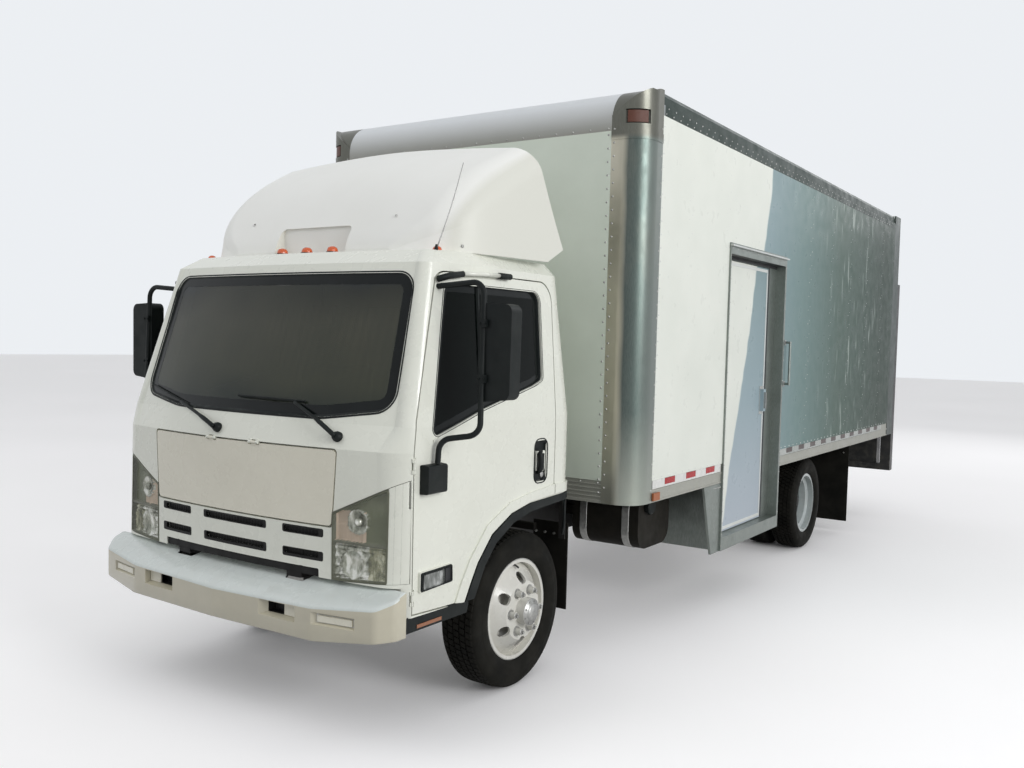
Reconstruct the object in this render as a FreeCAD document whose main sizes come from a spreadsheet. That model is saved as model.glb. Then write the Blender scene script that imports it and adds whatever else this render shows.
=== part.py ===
import FreeCAD, Part
import math
import os
import re
import Sketcher

# Box truck: a cab-over cab on a ladder frame, a cargo box with a stepped side door, and twin rear wheels.
# Millimetres. The front faces -Y, the truck's left is +X and Z is up from the ground.
# The origin is on the ground, midway along the truck's overall length.

SIZES = {
    # Overall layout, measured along the truck from the front axle
    "wheelbase": 4470, "front_overhang": 1190, "box_gap": 720, "box_length": 6260, "gate_depth": 170,
    # Frame
    "frame_width": 850, "rail_bottom_z": 560, "rail_depth": 216, "rail_flange": 70, "rail_gauge": 8,
    "rail_front": 940, "ear_gauge": 8, "crossmember_width": 70, "crossmember_depth": 110,
    # Bumper
    "bumper_width": 2000, "bumper_bottom_z": 464, "bumper_top_z": 700, "bumper_nose_z": 605,
    "bumper_top_rear": 990, "bumper_rear": 975, "bumper_gauge": 14,
    # Wheels
    "tyre_radius": 402, "tyre_width": 226, "bead_radius": 247.65, "lip_radius": 260.5, "rim_width": 178,
    "rim_gauge": 8, "rim_well": 30, "front_track": 1665, "rear_track": 1650, "dual_spacing": 268,
    "disc_offset": 127, "disc_gauge": 12, "hub_radius": 90, "lug_circle": 222.25, "lug_count": 6,
    "lug_radius": 18, "lug_length": 34, "hand_hole_radius": 29, "hand_hole_circle": 330, "drum_radius": 165,
    "drum_width": 100, "drum_back": 72, "spindle_radius": 30, "seat_gap": 0.3, "bearing_gap": 0.05,
    "kingpin_offset": 132.5,
    "kingpin_radius": 16,
    "axle_beam_height": 90, "axle_beam_width": 80, "axle_drop": 60,
    # Rear axle and drive
    "axle_tube_radius": 62, "banjo_radius": 175, "banjo_depth": 200, "shaft_radius": 40,
    "rear_spring_x": 480, "spring_width": 64,
    "leaf_thickness": 12, "front_spring_length": 1250, "rear_spring_length": 1350,
    # Powertrain
    "engine_width": 500, "engine_front": 640, "engine_length": 700, "engine_bottom_z": 500,
    "engine_top_z": 980, "gearbox_width": 320, "gearbox_length": 560, "gearbox_depth": 250,
    # Cab
    "cab_width": 2000, "cab_roof_width": 1800, "cab_bottom_z": 575, "cab_belt_z": 1290, "cab_cowl_z": 1400,
    "cab_header_z": 2130, "cab_roof_z": 2195, "cab_back": 415, "cab_back_top": 340, "cab_wall": 60,
    "cab_floor_z": 800, "cab_floor_gauge": 45, "arch_radius": 480, "arch_top_z": 1035,
    "cab_rear_bottom_z": 950, "tunnel_width": 600, "tunnel_top_z": 1010, "tilt_pivot_z": 700,
    "tilt_pivot_forward": 1022, "panel_gap": 6, "corner_radius": 130, "hinge_x": 390,
    "hinge_lug_width": 36, "tilt_pin_radius": 12,
    "door_front": 918, "door_rear": -200, "door_bottom_z": 590, "door_top_z": 2088, "door_front_top": 690,
    "glass_gauge": 6, "door_arch_share": 0.52, "trim_gauge": 10, "lid_gap": 8, "nose_bottom_z": 706,
    "door_hinge_x": 984, "door_hinge_forward": 921, "lid_hinge_x": 150, "lid_hinge_forward": 1083,
    "lid_hinge_z": 1286, "hinge_pin_radius": 3.5, "knuckle_radius": 7, "knuckle_clearance": 5,
    "dash_half_width": 765,
    # Box
    "box_width": 2438, "box_bottom_z": 868, "floor_z": 997, "box_side_top_z": 3084, "box_top_z": 3225,
    "wall_gauge": 45, "post_face": 216, "post_radius": 150, "floor_gauge": 37, "roof_gauge": 40,
    "cove_radius": 205, "cove_bottom_z": 2977, "casting_bottom_z": 2940, "hood_low_z": 3060, "niche_depth": 38,
    "niche_turn": 35, "rail_groove": 5, "rear_frame_depth": 230, "rear_post_width": 100,
    "rear_header_depth": 200, "roll_door_gauge": 40,
    # Side door and step well, along the truck from the front axle
    "entry_front": 2007, "entry_rear": 3167, "entry_top_z": 2475, "entry_bottom_z": 404,
    "side_door_front": 2036, "side_door_rear": 2955, "side_door_bottom_z": 500, "side_door_top_z": 2372,
    "side_door_recess": 60, "side_door_gauge": 45, "well_front": 1867, "well_rear": 3268, "well_depth": 470,
    "well_step_z": 700, "door_pin_radius": 4, "door_barrel_radius": 9, "door_barrel_length": 160,
}

doc = FreeCAD.newDocument("box_truck")
sheet = doc.addObject("Spreadsheet::Sheet", "dims")
for row, (alias, size) in enumerate(SIZES.items(), 1):
    sheet.set(f"A{row}", alias)
    sheet.set(f"B{row}", str(size))
    sheet.setAlias(f"B{row}", alias)
layout = doc.addObject("App::VarSet", "layout")
doc.recompute()

PLACES = {
    # Places along the truck that follow from the sizes
    "rear_reach": "box_gap + box_length + gate_depth",
    "axle_y": "(front_overhang - rear_reach) / 2",
    "rear_axle_y": "axle_y + wheelbase",
    "box_front_y": "axle_y + box_gap",
    "box_rear_y": "box_front_y + box_length",
    "box_side_x": "box_width / 2",
    "rail_top_z": "rail_bottom_z + rail_depth",
    "rail_x": "frame_width / 2",
    "tilt_y": "axle_y - tilt_pivot_forward",
    "kingpin_x": "front_track / 2 - kingpin_offset",
}


def formula(text):
    """The expression with each size and place written as its owner's property."""
    def owner(word):
        name = word.group()
        if name in SIZES:
            return f"dims.{name}"
        return f"layout.{name}" if name in PLACES else name
    return re.sub(r"[A-Za-z_]\w*", owner, str(text))


for place, expression in PLACES.items():
    layout.addProperty("App::PropertyFloat", place)
    layout.setExpression(place, formula(expression))
    doc.recompute()


class Numbers:
    """Every size and place as a plain number, for the shapes worked out in code."""
    def __getattr__(self, name):
        return float(sheet.get(name) if name in SIZES else getattr(layout, name))


size = Numbers()
Vec = FreeCAD.Vector
AXES = {"x": Vec(1, 0, 0), "y": Vec(0, 1, 0), "z": Vec(0, 0, 1)}


def box(name, x, y, z):
    """A block between two expressions along each axis."""
    piece = doc.addObject("Part::Box", name)
    for axis, side, (low, high) in zip("xyz", ("Length", "Width", "Height"), (x, y, z)):
        piece.setExpression(side, formula(f"({high}) - ({low})"))
        piece.setExpression(f"Placement.Base.{axis}", formula(low))
    return piece


def rod(name, axis, start, radius, length):
    """A round bar along an axis from a start point."""
    piece = doc.addObject("Part::Cylinder", name)
    piece.Placement.Rotation = FreeCAD.Rotation(Vec(0, 0, 1), AXES[axis])
    piece.setExpression("Radius", formula(radius))
    piece.setExpression("Height", formula(length))
    for direction, place in zip("xyz", start):
        piece.setExpression(f"Placement.Base.{direction}", formula(place))
    return piece


def fuse(name, pieces):
    piece = doc.addObject("Part::MultiFuse", name)
    piece.Shapes = pieces
    return piece


def cut(name, base, tools):
    tool = tools[0] if len(tools) == 1 else fuse(f"{name}_tools", tools)
    piece = doc.addObject("Part::Cut", name)
    piece.Base = base
    piece.Tool = tool
    return piece


def mirror(name, source):
    """The same piece on the truck's other side."""
    piece = doc.addObject("Part::Mirroring", name)
    piece.Source = source
    piece.Normal = Vec(1, 0, 0)
    return piece


def shaped(name, shape):
    """A piece whose surface is worked out in code from the sheet's numbers."""
    piece = doc.addObject("Part::Feature", name)
    piece.Shape = shape
    return piece


def prism(name, plane, corners, start, length):
    """A padded sketch: corners are pairs of expressions in the plane, pushed along its normal."""
    body = doc.addObject("PartDesign::Body", name)
    support = next(item for item in body.Origin.OriginFeatures if item.Role == f"{plane}_Plane")
    sketch = body.newObject("Sketcher::SketchObject", f"{name}_outline")
    sketch.AttachmentSupport = [(support, "")]
    sketch.MapMode = "FlatFace"
    count = len(corners)
    for index in range(count):
        turn = 2 * math.pi * index / count
        after = 2 * math.pi * (index + 1) / count
        sketch.addGeometry(Part.LineSegment(Vec(math.cos(turn), math.sin(turn), 0),
                                            Vec(math.cos(after), math.sin(after), 0)))
    for index in range(count):
        sketch.addConstraint(Sketcher.Constraint("Coincident", index, 2, (index + 1) % count, 1))
    for index, pair in enumerate(corners):
        for kind, expression in zip(("DistanceX", "DistanceY"), pair):
            number = sketch.addConstraint(Sketcher.Constraint(kind, -1, 1, index, 1, 1.0))
            sketch.setExpression(f"Constraints[{number}]", formula(expression))
    pad = body.newObject("PartDesign::Pad", f"{name}_pad")
    pad.Profile = sketch
    pad.setExpression("Length", formula(length))
    along = {"XY": ("z", 1), "XZ": ("y", -1), "YZ": ("x", 1)}[plane]
    body.setExpression(f"Placement.Base.{along[0]}", formula(start))
    pad.Reversed = along[1] < 0
    return body


def rounded_wire(points, radii):
    """A closed wire through plane points, each corner an arc of its own radius."""
    count = len(points)
    edges, starts, ends = [], [], []
    for index, (point, radius) in enumerate(zip(points, radii)):
        before = (points[index - 1] - point).normalize()
        after = (points[(index + 1) % count] - point).normalize()
        half = before.getAngle(after) / 2
        reach = radius / math.tan(half)
        starts.append(point + before * reach)
        ends.append(point + after * reach)
        if radius > 0:
            bisector = (before + after).normalize()
            middle = point + bisector * (radius / math.sin(half) - radius)
            edges.append(Part.Arc(starts[-1], middle, ends[-1]).toShape())
    lines = [Part.makeLine(ends[index], starts[(index + 1) % count]) for index in range(count)
             if (ends[index] - starts[(index + 1) % count]).Length > 1e-6]
    return Part.Wire(Part.__sortEdges__(edges + lines))


def plate(plane, corners, low, high, radii=0):
    """A rounded plate: number pairs in a plane, pushed from low to high along its normal."""
    place = {"YZ": lambda a, b: Vec(low, a, b), "XZ": lambda a, b: Vec(a, low, b),
             "XY": lambda a, b: Vec(a, b, low)}[plane]
    normal = {"YZ": AXES["x"], "XZ": AXES["y"], "XY": AXES["z"]}[plane]
    sizes = radii if isinstance(radii, (list, tuple)) else [radii] * len(corners)
    wire = rounded_wire([place(a, b) for a, b in corners], sizes)
    return Part.Face(wire).extrude(normal * (high - low))


# Cab body: plan outlines at five heights, joined into one tapering shell.
# Each level gives its height, the half width at the doors, the pillar and cheek points of the front corner
# as sideways and forward distances, the nose's distance ahead of the axle, and the back wall's behind it.
CAB_LEVELS = [
    {"height": "cab_bottom_z", "half": 1000, "pillar": (985, 925), "cheek": (850, 1008), "nose": 1055,
     "back": "cab_back"},
    {"height": "cab_belt_z", "half": 1003, "pillar": (980, 925), "cheek": (840, 1000), "nose": 1085,
     "back": "cab_back"},
    {"height": "cab_cowl_z", "half": 1002, "pillar": (975, 905), "cheek": (885, 940), "nose": 1045,
     "back": "cab_back"},
    {"height": "cab_header_z", "half": 945, "pillar": (885, 700), "cheek": (815, 735), "nose": 790,
     "back": "cab_back_top"},
    {"height": "cab_roof_z", "half": 880, "pillar": (830, 590), "cheek": (760, 640), "nose": 690,
     "back": "cab_back_top"},
]
SHOULDER = 380


def cab_outline(level, inset):
    """The left half of the cab's outline in plan at one level, drawn in by the inset."""
    half = level["half"] - inset
    back = size.axle_y + getattr(size, level["back"]) - inset
    pillar = (level["pillar"][0] - inset, size.axle_y - level["pillar"][1] + inset * 0.6)
    cheek = (level["cheek"][0] - inset * 0.6, size.axle_y - level["cheek"][1] + inset)
    nose = size.axle_y - level["nose"] + inset
    shoulder = size.axle_y - SHOULDER
    radius = size.corner_radius - inset / 2
    height = getattr(size, level["height"])
    turn = math.sqrt(0.5)
    sag = cheek[1] - nose
    bow = (cheek[0] ** 2 + sag ** 2) / (2 * sag)
    part_way = math.asin(cheek[0] / bow) / 2
    points = {
        "back": (0, back), "corner": (half - radius, back),
        "corner_middle": (half - radius + radius * turn, back - radius + radius * turn),
        "side": (half, back - radius), "shoulder": (half, shoulder),
        "flank": (half - (half - pillar[0]) * 0.25, (shoulder + pillar[1]) / 2), "pillar": pillar,
        "wrap": ((pillar[0] + cheek[0]) / 2 + 8, (pillar[1] + cheek[1]) / 2 - 16), "cheek": cheek,
        "front_middle": (bow * math.sin(part_way), nose + bow * (1 - math.cos(part_way))),
        "nose": (0, nose),
    }
    at = {name: Vec(across, along, height) for name, (across, along) in points.items()}
    edges = [Part.makeLine(at["back"], at["corner"]),
             Part.Arc(at["corner"], at["corner_middle"], at["side"]).toShape(),
             Part.makeLine(at["side"], at["shoulder"]),
             Part.Arc(at["shoulder"], at["flank"], at["pillar"]).toShape(),
             Part.Arc(at["pillar"], at["wrap"], at["cheek"]).toShape(),
             Part.Arc(at["cheek"], at["front_middle"], at["nose"]).toShape(),
             Part.makeLine(at["nose"], at["back"])]
    return Part.Wire(edges)


def cab_block(inset):
    """The left half of the cab's outside as a solid, drawn in by the inset, also from its roof."""
    wires = [cab_outline(level, inset) for level in CAB_LEVELS]
    wires[-1].translate(Vec(0, 0, -inset))
    return Part.makeLoft(wires, True, True)


def both_sides(shape):
    """A half shape joined to its mirror image across the middle of the truck."""
    return shape.fuse(shape.mirror(Vec(0, 0, 0), AXES["x"])).removeSplitter()


def from_axle(pairs):
    """Side-view points given from the front axle, in the truck's frame."""
    return [(size.axle_y + along, height) for along, height in pairs]


def wide(pairs, radii=0, low=-1400, high=1400):
    """A side-view outline from the front axle, run across the truck."""
    return plate("YZ", from_axle(pairs), low, high, radii)


# The wheel arch's inner edge and the outer edge of the lip round it, as places behind the axle and heights
ARCH_INNER = [(-503, 561), (-471, 616), (-417, 715), (-327, 810), (-182, 887), (-27, 923), (209, 937)]
ARCH_LIP = [(-636, 583), (-592, 670), (-533, 763), (-402, 905), (-212, 991), (-32, 1019), (189, 1039)]


def arch_curve(share):
    """Points round the wheel arch, from its inner edge at nought to the outer edge of its lip at one."""
    return [(a[0] + (b[0] - a[0]) * share, a[1] + (b[1] - a[1]) * share) for a, b in zip(ARCH_INNER, ARCH_LIP)]


def door_outline(gap):
    """The cab door's outline in side view, grown by the gap."""
    front, rear = -size.door_front - gap, -size.door_rear + gap
    edge = arch_curve(size.door_arch_share - gap / 110)
    low = size.door_bottom_z - gap
    pairs = [(front, low), (edge[0][0], low - 10 - gap / 2)] + edge[1:-1]
    pairs += [(rear, edge[-1][1]), (rear, size.door_top_z + gap),
              (-size.door_front_top - gap, size.door_top_z + gap),
              (front + 20, 1420), (front, 1290)]
    return pairs, [0, 10, 30, 60, 60, 60, 40, 0, 110, 70, 30, 30]


def window_outline(gap):
    """The door window's outline, which drops towards the front."""
    front, rear = -810 - gap, 88 + gap
    pairs = [(front, 1345 - gap), (-430, 1462 - gap), (0, 1560 - gap), (rear, 1590 - gap),
             (rear, 2035 + gap), (-655 - gap, 2035 + gap)]
    return pairs, [30, 200, 60, 30, 60, 50]


def cab_under():
    """The space below the cab: wheels, rails and engine."""
    arch = [(-1500, 300), (-503, 300)] + ARCH_INNER[:-1]
    arch += [(209, size.cab_rear_bottom_z - 10), (300, size.cab_rear_bottom_z), (700, size.cab_rear_bottom_z),
            (700, 200), (-1500, 200)]
    lower = wide(arch, 0)
    nose = wide([(-1200, 300), (-960, 300), (-960, size.nose_bottom_z), (-1200, size.nose_bottom_z)])
    rails_half = size.rail_x + 30
    rails = wide([(-990, 400), (600, 400), (600, size.cab_floor_z), (-990, size.cab_floor_z)], 0,
                 -rails_half, rails_half)
    tunnel_half = size.tunnel_width / 2 - size.cab_floor_gauge
    tunnel = wide([(-720, 400), (700, 400), (700, size.tunnel_top_z), (-720, size.tunnel_top_z)], 0,
                  -tunnel_half, tunnel_half)
    hinge = [wide([(-1048, 400), (-950, 400), (-950, size.cab_floor_z), (-1048, size.cab_floor_z)], 0,
                  hand * 390 - 55, hand * 390 + 55) for hand in (1, -1)]
    return lower.fuse([nose, rails, tunnel] + hinge)


def cab_space():
    """The left half of the hollow inside the cab, above its floor, with the entry step beside it."""
    floor = size.cab_floor_z + size.cab_floor_gauge
    room = wide([(-1200, floor), (-470, floor), (-300, 990), (700, 990), (700, 2400), (-1200, 2400)])
    tunnel = wide([(-760, 500), (900, 500), (900, size.tunnel_top_z + 45), (-760, size.tunnel_top_z + 45)],
                  0, -size.tunnel_width / 2, size.tunnel_width / 2)
    step = wide([(-900, 640), (-590, 640), (-590, 900), (-900, 900)], 0, 720, 1100)
    return cab_block(size.cab_wall).common(room.cut(tunnel).fuse(step))


def windshield_outline(gap):
    bottom, top = 1438 - gap, 2080 + gap
    return [(-862 - gap, bottom + 30), (-500, bottom - 18), (500, bottom - 18), (862 + gap, bottom + 30),
            (822 + gap, top), (-822 - gap, top)], [90, 600, 600, 90, 90, 90]


def lid_outline(gap):
    """The front lid's outline, a little wider at its top."""
    return [(-608 - gap, 945 - gap), (608 + gap, 945 - gap), (630 + gap, 1283 + gap), (-630 - gap, 1283 + gap)]


def across_front(corners, radii=0, near=-1300, far=-900):
    """A front-view outline run through the cab's nose."""
    return plate("XZ", corners, size.axle_y + near, size.axle_y + far, radii)


def grille_slots():
    """Three rows of slots through the cab's front, the lowest one wide and open below."""
    rows = ((892, 920, ((-541, -331), (-206, 206), (331, 541))),
            (792, 820, ((-541, -331), (-206, 206), (331, 541))),
            (680, 745, ((-540, 540),)))
    slots = [across_front([(left, low), (right, low), (right, high), (left, high)], 8, -1300, -990)
             for low, high, spans in rows for left, right in spans]
    return slots[0].fuse(slots[1:])


def back_window():
    corners = [(-480, 1560), (480, 1560), (480, 1960), (-480, 1960)]
    return plate("XZ", corners, size.axle_y, size.axle_y + 800, 60)


def cab_shell():
    """The cab's walls, floor and roof in one shell, with its openings cut."""
    pairs, radii = door_outline(size.panel_gap)
    glass_at, glass_radii = windshield_outline(0)
    screen = across_front(glass_at, glass_radii, -1400, -560)
    lid_space = across_front(lid_outline(size.lid_gap), 20).cut(cab_block(34))
    shell = cab_block(0).cut(cab_space()).cut(cab_under())
    for opening in (wide(pairs, radii, 600, 1400), screen, back_window(), lid_space, grille_slots()):
        shell = shell.cut(opening)
    low = size.hinge_x - size.hinge_lug_width / 2
    lug_top = size.cab_floor_z + size.cab_floor_gauge
    web = wide([(-1040, size.tilt_pivot_z), (-1004, size.tilt_pivot_z), (-960, lug_top), (-1020, lug_top)],
               0, low,
               low + size.hinge_lug_width)
    centre = Vec(low, size.tilt_y, size.tilt_pivot_z)
    eye = Part.makeCylinder(18, size.hinge_lug_width, centre, AXES["x"])
    hole = Part.makeCylinder(size.tilt_pin_radius + size.bearing_gap, size.hinge_lug_width, centre, AXES["x"])
    lip = [(-size.door_rear + size.panel_gap, 988), (415, 988), (415, 1036),
           (-size.door_rear + size.panel_gap, 1039)]
    shell = shell.fuse([web, eye, raised(lip, 9)]).cut(hole)
    for place, axis in hinge_places():
        shell = with_fixed_knuckle(shell, place, axis)
    return both_sides(shell)


def hinge_places():
    """The left half's hinges on the shell: two on the door's front edge and one on the lid's top edge."""
    door_x, door_y = size.door_hinge_x, size.axle_y - size.door_hinge_forward
    return [(Vec(door_x, door_y, 660), "z"), (Vec(door_x, door_y, 1235), "z"), (lid_hinge(), "x")]


def lid_hinge():
    return Vec(size.lid_hinge_x, size.axle_y - size.lid_hinge_forward, size.lid_hinge_z)


def hinge_bar(place, axis, low, high, radius):
    """A round bar on a hinge line between two distances from the hinge's middle."""
    return Part.makeCylinder(radius, high - low, place + AXES[axis] * low, AXES[axis])


def with_fixed_knuckle(solid, place, axis):
    """A solid with room for a hinge's moving barrel, the pin through it and a lug at each end."""
    radius, room = size.knuckle_radius, size.knuckle_radius + size.knuckle_clearance
    solid = solid.cut(hinge_bar(place, axis, -20, 20, room))
    lugs = [hinge_bar(place, axis, -32, -16, radius), hinge_bar(place, axis, 16, 32, radius)]
    for low in (-32, 16):
        seat = Part.makeBox(16, 15, 14, place + Vec(low, 0, 0))
        upright = Part.makeBox(14, 12, 16, place + Vec(-14, -12, low))
        lugs.append(seat if axis == "x" else upright)
    return solid.fuse(lugs + [hinge_bar(place, axis, -20, 20, size.hinge_pin_radius)])


def with_moving_knuckle(solid, place, axis):
    """A solid with a hinge's barrel on its edge, bored for the pin, and room for the lugs beside it."""
    radius, room = size.knuckle_radius, size.knuckle_radius + size.knuckle_clearance
    solid = solid.cut(hinge_bar(place, axis, -37, -15.5, room)).cut(hinge_bar(place, axis, 15.5, 37, room))
    seat = Part.makeBox(30, 15, 14, place - Vec(15, 0, 14))
    upright = Part.makeBox(14, 12, 30, place - Vec(14, 0, 15))
    barrel = [hinge_bar(place, axis, -15, 15, radius), seat if axis == "x" else upright]
    bore = hinge_bar(place, axis, -20, 20, size.hinge_pin_radius + size.bearing_gap)
    return solid.fuse(barrel).cut(bore)


def raised(outline, proud, radii=0, low=600):
    """A skin standing proud of the cab's side inside a side-view outline."""
    return cab_block(-proud).cut(cab_block(2)).common(wide(outline, radii, low, 1400))


def door_details():
    """What stands on a cab door: the arch lip, the sill strip under its window and the side lamp's case."""
    lip = arch_curve(size.door_arch_share)[:-1] + [(-size.door_rear, 987), (-size.door_rear, 1038)]
    lip += list(reversed(arch_curve(1)[:-1]))
    sill = [(-800, 1326), (-430, 1442), (0, 1540), (84, 1566), (78, 1576), (0, 1554), (-430, 1456), (-802, 1342)]
    case = [(-886, 678), (-662, 690), (-668, 775), (-886, 768)]
    grip = [(10, 1068), (118, 1068), (118, 1278), (10, 1278)]
    return [raised(lip, 9), raised(sill, 5), raised(case, 12, 10)], wide(grip, 18, 600, 1400)


def cab_door(hand):
    """A cab door's full-depth panel with its window cut, and the pane in it."""
    pairs, radii = door_outline(0)
    window, window_radii = window_outline(0)
    opening = wide(window, window_radii, 600, 1400)
    panel = cab_block(0).common(wide(pairs, radii, 600, 1400)).cut(cab_block(size.cab_wall)).cut(opening)
    proud, grip = door_details()
    panel = panel.cut(grip.cut(cab_block(14)))
    paddle = [(22, 1120), (106, 1120), (106, 1225), (22, 1225)]
    handle = cab_block(0).cut(cab_block(15)).common(wide(paddle, 12, 600, 1400))
    for piece in proud + [handle]:
        panel = panel.fuse(piece)
    for place, axis in hinge_places()[:2]:
        panel = with_moving_knuckle(panel, place, axis)
    pane = cab_block(22).cut(cab_block(22 + size.glass_gauge)).common(opening)
    if hand < 0:
        panel, pane = (shape.mirror(Vec(0, 0, 0), AXES["x"]) for shape in (panel, pane))
    return panel, pane


def cab_windows():
    """The windshield and the rear window, let into the shell."""
    glass_at, glass_radii = windshield_outline(0)
    screen = across_front(glass_at, glass_radii, -1400, -560)
    band = cab_block(8).cut(cab_block(8 + size.glass_gauge))
    return [both_sides(band.common(screen)), both_sides(band.common(back_window()))]


def front_lid():
    """The service lid under the windshield, hinged at its top edge."""
    skin = cab_block(0).cut(cab_block(28)).common(across_front(lid_outline(0), 20))
    return both_sides(with_moving_knuckle(skin, lid_hinge(), "x"))


# Running gear and frame

def channel_rail(name):
    """One side rail: a channel, open towards the middle of the truck."""
    front, rear = "axle_y - rail_front", "box_rear_y - 20"
    outer = box(f"{name}_outer", ("rail_x - rail_flange", "rail_x"), (front, rear),
                ("rail_bottom_z", "rail_top_z"))
    inner = box(f"{name}_inner", ("rail_x - rail_flange - 1", "rail_x - rail_gauge"),
                (f"{front} - 1", f"{rear} + 1"), ("rail_bottom_z + rail_gauge", "rail_top_z - rail_gauge"))
    return cut(name, outer, [inner])


def build_frame():
    """A ladder frame: two channel rails, crossmembers, cab hinge ears and the cab's rear rest."""
    rail = channel_rail("rail_left")
    pieces = [rail, mirror("rail_right", rail)]
    inside = "rail_x - rail_gauge"
    for index, along in enumerate(("-930", "820", "1500", "2300", "3150", "3900", "4900", "5600", "6400")):
        pieces.append(box(f"crossmember_{index + 1}", (f"-({inside})", inside),
                          (f"axle_y + ({along})", f"axle_y + ({along}) + crossmember_width"),
                          ("rail_top_z - rail_gauge - crossmember_depth", "rail_top_z - rail_gauge")))
    for side, centre in (("left", "hinge_x"), ("right", "-hinge_x")):
        for part, low in (("inner", f"{centre} - hinge_lug_width/2 - 14"),
                          ("outer", f"{centre} + hinge_lug_width/2 + 2")):
            ear = box(f"ear_{side}_{part}", (low, f"{low} + 12"), ("tilt_y", "axle_y - rail_front + 30"),
                      ("tilt_pivot_z - 18", "tilt_pivot_z + 18"))
            knob = rod(f"knob_{side}_{part}", "x", (low, "tilt_y", "tilt_pivot_z"), "18", "12")
            pieces += [ear, knob]
        pieces.append(rod(f"tilt_pin_{side}", "x", (f"{centre} - hinge_lug_width/2 - 14", "tilt_y",
                                                    "tilt_pivot_z"), "tilt_pin_radius", "hinge_lug_width + 28"))
        pieces.append(box(f"ear_plate_{side}", (f"{centre} - 40", f"{centre} + 40"),
                          ("axle_y - rail_front - ear_gauge", "axle_y - rail_front"),
                          ("rail_bottom_z + 60", "rail_top_z - 45")))
        pieces.append(box(f"cab_rest_{side}", (f"{centre} - 30", f"{centre} + 30"),
                          ("axle_y + 320", "axle_y + 380"), ("rail_top_z - 2", "cab_rear_bottom_z - 0.3")))
    pieces.append(box("cab_rest_beam", ("-hinge_x", "hinge_x"), ("axle_y + 325", "axle_y + 375"),
                      ("cab_rear_bottom_z - 80", "cab_rear_bottom_z - 30")))
    return fuse("chassis_frame", pieces)


def build_front_axle():
    """A dropped beam between the kingpins, with a boss at each end."""
    top, drop = "tyre_radius + axle_beam_height/2", "axle_drop"
    low = "tyre_radius - axle_beam_height/2"
    corners = [("-kingpin_x", low), ("-kingpin_x + 120", low), ("-kingpin_x + 220", f"{low} - {drop}"),
               ("kingpin_x - 220", f"{low} - {drop}"), ("kingpin_x - 120", low), ("kingpin_x", low),
               ("kingpin_x", top), ("kingpin_x - 130", top), ("kingpin_x - 230", f"{top} - {drop} - 10"),
               ("-kingpin_x + 230", f"{top} - {drop} - 10"), ("-kingpin_x + 130", top), ("-kingpin_x", top)]
    beam = prism("beam", "XZ", corners, "axle_y - axle_beam_width/2", "axle_beam_width")
    bosses, holes = [], []
    for side, place in (("left", "kingpin_x"), ("right", "-kingpin_x")):
        bosses.append(rod(f"boss_{side}", "z", (place, "axle_y", low), "38", "axle_beam_height"))
        holes.append(rod(f"kingpin_bore_{side}", "z", (place, "axle_y", f"{low} - 10"),
                         "kingpin_radius + bearing_gap", "axle_beam_height + 20"))
    return cut("front_axle_beam", fuse("beam_with_bosses", [beam] + bosses), holes)


def build_knuckle(side, hand):
    """A fork over the beam's boss, its kingpin, and the wheel's spindle."""
    low, top = "tyre_radius - axle_beam_height/2", "tyre_radius + axle_beam_height/2"
    name = f"knuckle_{side}"
    yoke = box(f"{name}_back", ("kingpin_x + 44", "kingpin_x + 70"), ("axle_y - 45", "axle_y + 45"),
               (f"{low} - 24", f"{top} + 24"))
    ears = [box(f"{name}_ear_{part}", ("kingpin_x - 30", "kingpin_x + 50"), ("axle_y - 36", "axle_y + 36"),
                span) for part, span in (("low", (f"{low} - 24", f"{low} - 0.5")),
                                         ("top", (f"{top} + 0.5", f"{top} + 24")))]
    pin = rod(f"{name}_pin", "z", ("kingpin_x", "axle_y", f"{low} - 24"), "kingpin_radius",
              "axle_beam_height + 48")
    spindle = rod(f"{name}_spindle", "x", ("kingpin_x + 60", "axle_y", "tyre_radius"), "spindle_radius",
                  "front_track/2 + disc_offset - kingpin_x - 60")
    arm = box(f"{name}_arm", ("kingpin_x - 20", "kingpin_x + 20"), ("axle_y + 30", "axle_y + 190"),
              (f"{low} - 24", f"{low} - 6"))
    whole = fuse(f"{name}_left_hand", [yoke] + ears + [pin, spindle, arm])
    return whole if hand > 0 else mirror(name, whole)


def ring_profile(points):
    """A section through a wheel, outward distance first and radius second, turned about the axle."""
    wire = Part.makePolygon([Vec(across, 0, radius) for across, radius in points + points[:1]])
    return Part.Face(wire).revolve(Vec(0, 0, 0), AXES["x"], 360)


def tyre_shape():
    """A tyre: flat tread, rounded shoulders and bulging walls down to its beads."""
    half, radius, bead = size.tyre_width / 2, size.tyre_radius, size.bead_radius + size.seat_gap
    seat = size.rim_width / 2 - 12 - size.seat_gap
    lip = size.lip_radius + size.seat_gap
    points = [(-seat, bead), (seat, bead), (seat, lip), (size.rim_width / 2, lip), (half - 4, bead + 45),
              (half, bead + 80), (half - 6, radius - 32), (half - 26, radius - 6), (half - 40, radius)]
    points += [(-across, height) for across, height in reversed(points[2:])]
    return ring_profile(points)


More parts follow.
